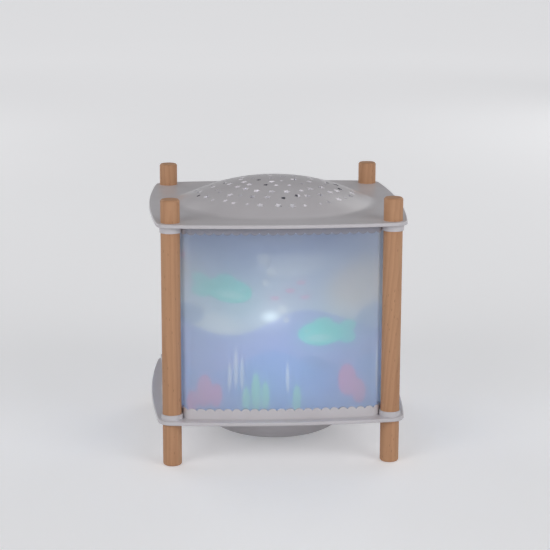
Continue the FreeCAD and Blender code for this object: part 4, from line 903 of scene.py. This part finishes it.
def build_shell(look):
    """The lampholder's threaded shell, whose thread fits round the cap's."""
    shape = bmesh.new()
    wide = CAP_RADIUS + 0.3 * MM
    low, high = SHELL_FOOT + 0.6 * MM, SHELL_TOP - 0.8 * MM
    thread(shape, wide - look.thread_depth / 2, look.thread_depth, low, high)
    turned(shape, [(wide - look.thread_depth, high - 0.1 * MM), (wide, SHELL_TOP - 0.3 * MM),
                   (wide + 0.2 * MM, SHELL_TOP), (SHELL_RADIUS, SHELL_TOP), (SHELL_RADIUS, SHELL_FOOT),
                   (wide, SHELL_FOOT), (wide, low + 0.1 * MM)])
    piece = new_piece("threaded_shell", shape, "root", metal("Turned Brass"))
    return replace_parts(piece, "lampholder_shell")


# Operators


class PICTURELAMP_OT_dowels(Operator):
    """Give each of the twelve dowels its own cut of beech"""

    bl_idname = "picturelamp.dowels"
    bl_label = "Finish the Dowels"

    def execute(self, context):
        look = context.scene.picture_lamp.beech
        for number, (corner, (x, y)) in enumerate(CORNERS.items()):
            lean_across, lean_along, turned_by = POST_CUTS[corner]
            for row, kind in enumerate(("foot", "post", "finial")):
                turn = (lean_across, lean_along, turned_by + 0.9 * (row - 1))
                middle = (x * POST_AXIS, y * POST_AXIS, -0.31 * row - 0.17 * number)
                dress(f"{kind}_{corner}", beech(look, f"Beech {kind.title()} {number + 1}", middle, turn))
        return {"FINISHED"}


class PICTURELAMP_OT_plates(Operator):
    """Finish the two plates and the bowl in satin white plastic"""

    bl_idname = "picturelamp.plates"
    bl_label = "Finish the Plates"

    def execute(self, context):
        look = context.scene.picture_lamp.plastic
        dress("top_plate", pierced_plastic(look))
        dress("base_plate", moulded("Plate Plastic", look.plate, look.polish)[0])
        # The bowl's darker plastic is painted shade under the base plate
        dress("base_bowl", moulded("Bowl Plastic", look.bowl, 0.40)[0])
        return {"FINISHED"}


class PICTURELAMP_OT_screen(Operator):
    """Finish the frosted film between the posts"""

    bl_idname = "picturelamp.screen"
    bl_label = "Finish the Screen"

    def execute(self, context):
        dress("screen_film", frosted_film(context.scene.picture_lamp.screen))
        return {"FINISHED"}


class PICTURELAMP_OT_drum(Operator):
    """Print the drum and finish its rings"""

    bl_idname = "picturelamp.drum"
    bl_label = "Print the Drum"

    def execute(self, context):
        dress("drum_film", printed_film(context.scene.picture_lamp.picture))
        ring = moulded("Ring Plastic", (0.66, 0.66, 0.66), 0.42)[0]
        dress("drum_top_ring", ring)
        dress("drum_bottom_ring", ring)
        return {"FINISHED"}


class PICTURELAMP_OT_bearing(Operator):
    """Finish the vane wheel, the pivot cup, the needle and the wire hoop"""

    bl_idname = "picturelamp.bearing"
    bl_label = "Finish the Vanes and the Bearing"

    def execute(self, context):
        dress("vane_wheel", metal("Rolled Aluminium"))
        dress("pivot_cup", metal("Turned Brass"))
        dress("needle", metal("Turned Brass"))
        dress("needle_hoop", metal("Drawn Wire"))
        return {"FINISHED"}


class PICTURELAMP_OT_bulb(Operator):
    """Model the bulb's cap and filament, finish its glass and light it"""

    bl_idname = "picturelamp.bulb"
    bl_label = "Build the Bulb"

    def execute(self, context):
        look = context.scene.picture_lamp.bulb
        dress("bulb_glass", bulb_glass())
        dress("bulb_contact", metal("Turned Brass"))
        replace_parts(build_cap(look), "bulb_cap")
        build_insulator()
        build_filament(look)
        nodes = frame["nodes"]
        others = [node for name, node in nodes.items() if name != "screen_film"]
        picture = self.light_bulb(look, "Picture Light", look.picture_power, [nodes["screen_film"]])
        self.light_bulb(look, "Bulb Light", look.power, others)
        shading = bpy.data.collections.new("Picture Light Shade")
        for name in ("drum_film", "drum_top_ring", "drum_bottom_ring", "vane_wheel", "lampholder_body"):
            shading.objects.link(nodes[name])
        picture.light_linking.blocker_collection = shading
        return {"FINISHED"}

    def light_bulb(self, look, name, power, lit):
        """Adds and returns one light in the globe that reaches only the given nodes."""
        light = bpy.data.lights.new(name, "POINT")
        light.energy = power
        light.color = look.light
        light.shadow_soft_size = look.light_radius
        lamp = placed(name, light, (0, 0, LIGHT_UP))
        lamp.parent = frame["bodies"]["bulb"]
        reached = bpy.data.collections.new(f"{name} Reach")
        for node in lit:
            reached.objects.link(node)
        lamp.light_linking.receiver_collection = reached
        return lamp


class PICTURELAMP_OT_holder(Operator):
    """Model the lampholder's threaded shell and finish its clay body and spring"""

    bl_idname = "picturelamp.holder"
    bl_label = "Build the Lampholder"

    def execute(self, context):
        build_shell(context.scene.picture_lamp.bulb)
        dress("lampholder_body", fired_clay())
        dress("lampholder_spring", metal("Turned Brass"))
        return {"FINISHED"}


class PICTURELAMP_OT_inlet(Operator):
    """Finish the low-voltage inlet and its two leads"""

    bl_idname = "picturelamp.inlet"
    bl_label = "Finish the Inlet"

    def execute(self, context):
        dress("inlet_jack", moulded("Black Plastic", (0.03, 0.03, 0.032), 0.36)[0])
        dress("inlet_pin", metal("Nickel Plate"))
        dress("inlet_nut", metal("Nickel Plate"))
        dress("inner_leads", lead_sleeve())
        return {"FINISHED"}


class PICTURELAMP_OT_fasteners(Operator):
    """Finish the studs and the screws"""

    bl_idname = "picturelamp.fasteners"
    bl_label = "Finish the Fasteners"

    def execute(self, context):
        for name in ("post_studs", "finial_screws", "bowl_screws", "lampholder_screws"):
            dress(name, metal("Zinc Plate"))
        return {"FINISHED"}


class PICTURELAMP_OT_stage(Operator):
    """Set up the floor, the soft lamps and the camera"""

    bl_idname = "picturelamp.stage"
    bl_label = "Set the Stage"

    def execute(self, context):
        look = context.scene.picture_lamp.stage
        self.lay_floor(look)
        context.scene.world = self.lit_room(look)
        self.hang_lamps(look)
        context.scene.camera = self.new_camera(look)
        context.scene.view_settings.view_transform = "Standard"
        return {"FINISHED"}

    def lay_floor(self, look):
        """Lays the round floor, which is lifted more where the lamps' light thins out."""
        shape = bmesh.new()
        bmesh.ops.create_circle(shape, cap_ends=True, radius=FLOOR_RADIUS, segments=96)
        mesh = bpy.data.meshes.new("floor")
        shape.to_mesh(mesh)
        shape.free()
        material, tree, shader = new_material("Floor Paint", Specular_IOR_Level=0.2, Roughness=0.75)
        place = object_place(tree)
        haze = tree.noise(place, 3.0, 2.0)
        darker = tuple(part * 0.985 for part in look.floor)
        paint = tree.blend(haze, look.floor, darker)
        tree.feed(paint, shader.inputs["Base Color"])
        tree.feed(paint, shader.inputs["Emission Color"])
        away = tree.vector("LENGTH", place)
        lift = tree.step(away, *LIGHT_THINS, look.floor_lift, look.floor_lift + look.far_lift)
        tree.feed(tree.math("MULTIPLY", seen_directly(tree), lift), shader.inputs["Emission Strength"])
        mesh.materials.append(material)
        floor = placed("floor", mesh)

    def lit_room(self, look):
        """Makes the even light all round, which is dimmer overhead."""
        world = bpy.data.worlds.new("Studio")
        world.use_nodes = True
        tree = Tree(world.node_tree)
        ground = tree.nodes["Background"].inputs
        tree.feed((0.97, 0.98, 1.0), ground["Color"])
        upward = tree.parts(tree.add("ShaderNodeTexCoord", {}).outputs["Generated"])[2]
        room = tree.step(upward, 0.2, 0.95, look.room_strength, look.room_strength * look.overhead)
        shown = tree.step(upward, 0.0, 0.2, look.room_look, look.room_look * look.overhead)
        brighter = tree.math("SUBTRACT", shown, room)
        tree.feed(tree.math("MULTIPLY_ADD", seen_directly(tree), brighter, room), ground["Strength"])
        return world

    def hang_lamps(self, look):
        """Hangs the four soft lamps round the object, all aimed at its middle."""
        across, along, up = look.lamp_place
        for name, x, y, power in (("Front Left Lamp", -1, 1, 1.0), ("Front Right Lamp", 1, 1, 1.0),
                                  ("Back Left Lamp", -1, -1, look.back_share),
                                  ("Back Right Lamp", 1, -1, look.back_share)):
            light = bpy.data.lights.new(name, "AREA")
            light.shape = "SQUARE"
            light.size = look.lamp_size
            light.energy = look.lamp_power * power
            lamp = placed(name, light, (x * across, y * along, up))
            aim = Vector((0, 0, DOME_TOP / 2)) - lamp.location
            lamp.rotation_euler = aim.to_track_quat("-Z", "Y").to_euler()

    def new_camera(self, look):
        """Makes the camera that was fitted to the photograph."""
        view = bpy.data.cameras.new("Camera")
        view.lens = look.camera_lens
        view.sensor_width = 36.0
        view.clip_start = 0.05
        camera = placed("Camera", view, look.camera_place)
        aim = Vector(look.camera_aim).to_track_quat("-Z", "Y").to_matrix()
        camera.rotation_euler = (aim @ Matrix.Rotation(look.camera_roll, 3, "Z")).to_euler()
        return camera


class PICTURELAMP_PT_sidebar(Panel):
    """Lists the lamp's operators and settings"""

    bl_idname = "PICTURELAMP_PT_sidebar"
    bl_label = "Picture Lamp"
    bl_space_type = "VIEW_3D"
    bl_region_type = "UI"
    bl_category = "Picture Lamp"

    def draw(self, context):
        for step in STEPS:
            self.layout.operator(step.bl_idname)
        settings = context.scene.picture_lamp
        for name in PictureLampSettings.__annotations__:
            box = self.layout.box()
            box.label(text=name.title())
            group = getattr(settings, name)
            for label in group.__annotations__:
                box.prop(group, label)


STEPS = (PICTURELAMP_OT_dowels, PICTURELAMP_OT_plates, PICTURELAMP_OT_screen, PICTURELAMP_OT_drum,
         PICTURELAMP_OT_bearing, PICTURELAMP_OT_bulb, PICTURELAMP_OT_holder, PICTURELAMP_OT_inlet,
         PICTURELAMP_OT_fasteners, PICTURELAMP_OT_stage)
CLASSES = (BeechSettings, PlasticSettings, ScreenSettings, PictureSettings, BulbSettings, StageSettings,
           PictureLampSettings, *STEPS, PICTURELAMP_PT_sidebar)


def register():
    for each in CLASSES:
        bpy.utils.register_class(each)
    bpy.types.Scene.picture_lamp = PointerProperty(type=PictureLampSettings, name="Picture Lamp",
                                                   description="Settings of the lamp and its stage")


def unregister():
    del bpy.types.Scene.picture_lamp
    for each in reversed(CLASSES):
        bpy.utils.unregister_class(each)


def main():
    """Builds the whole scene in order."""
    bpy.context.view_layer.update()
    register()
    make_shared_effects()
    bpy.ops.picturelamp.dowels()
    bpy.ops.picturelamp.plates()
    bpy.ops.picturelamp.screen()
    bpy.ops.picturelamp.drum()
    bpy.ops.picturelamp.bearing()
    bpy.ops.picturelamp.bulb()
    bpy.ops.picturelamp.holder()
    bpy.ops.picturelamp.inlet()
    bpy.ops.picturelamp.fasteners()
    bpy.ops.picturelamp.stage()


if __name__ == "__main__":
    main()
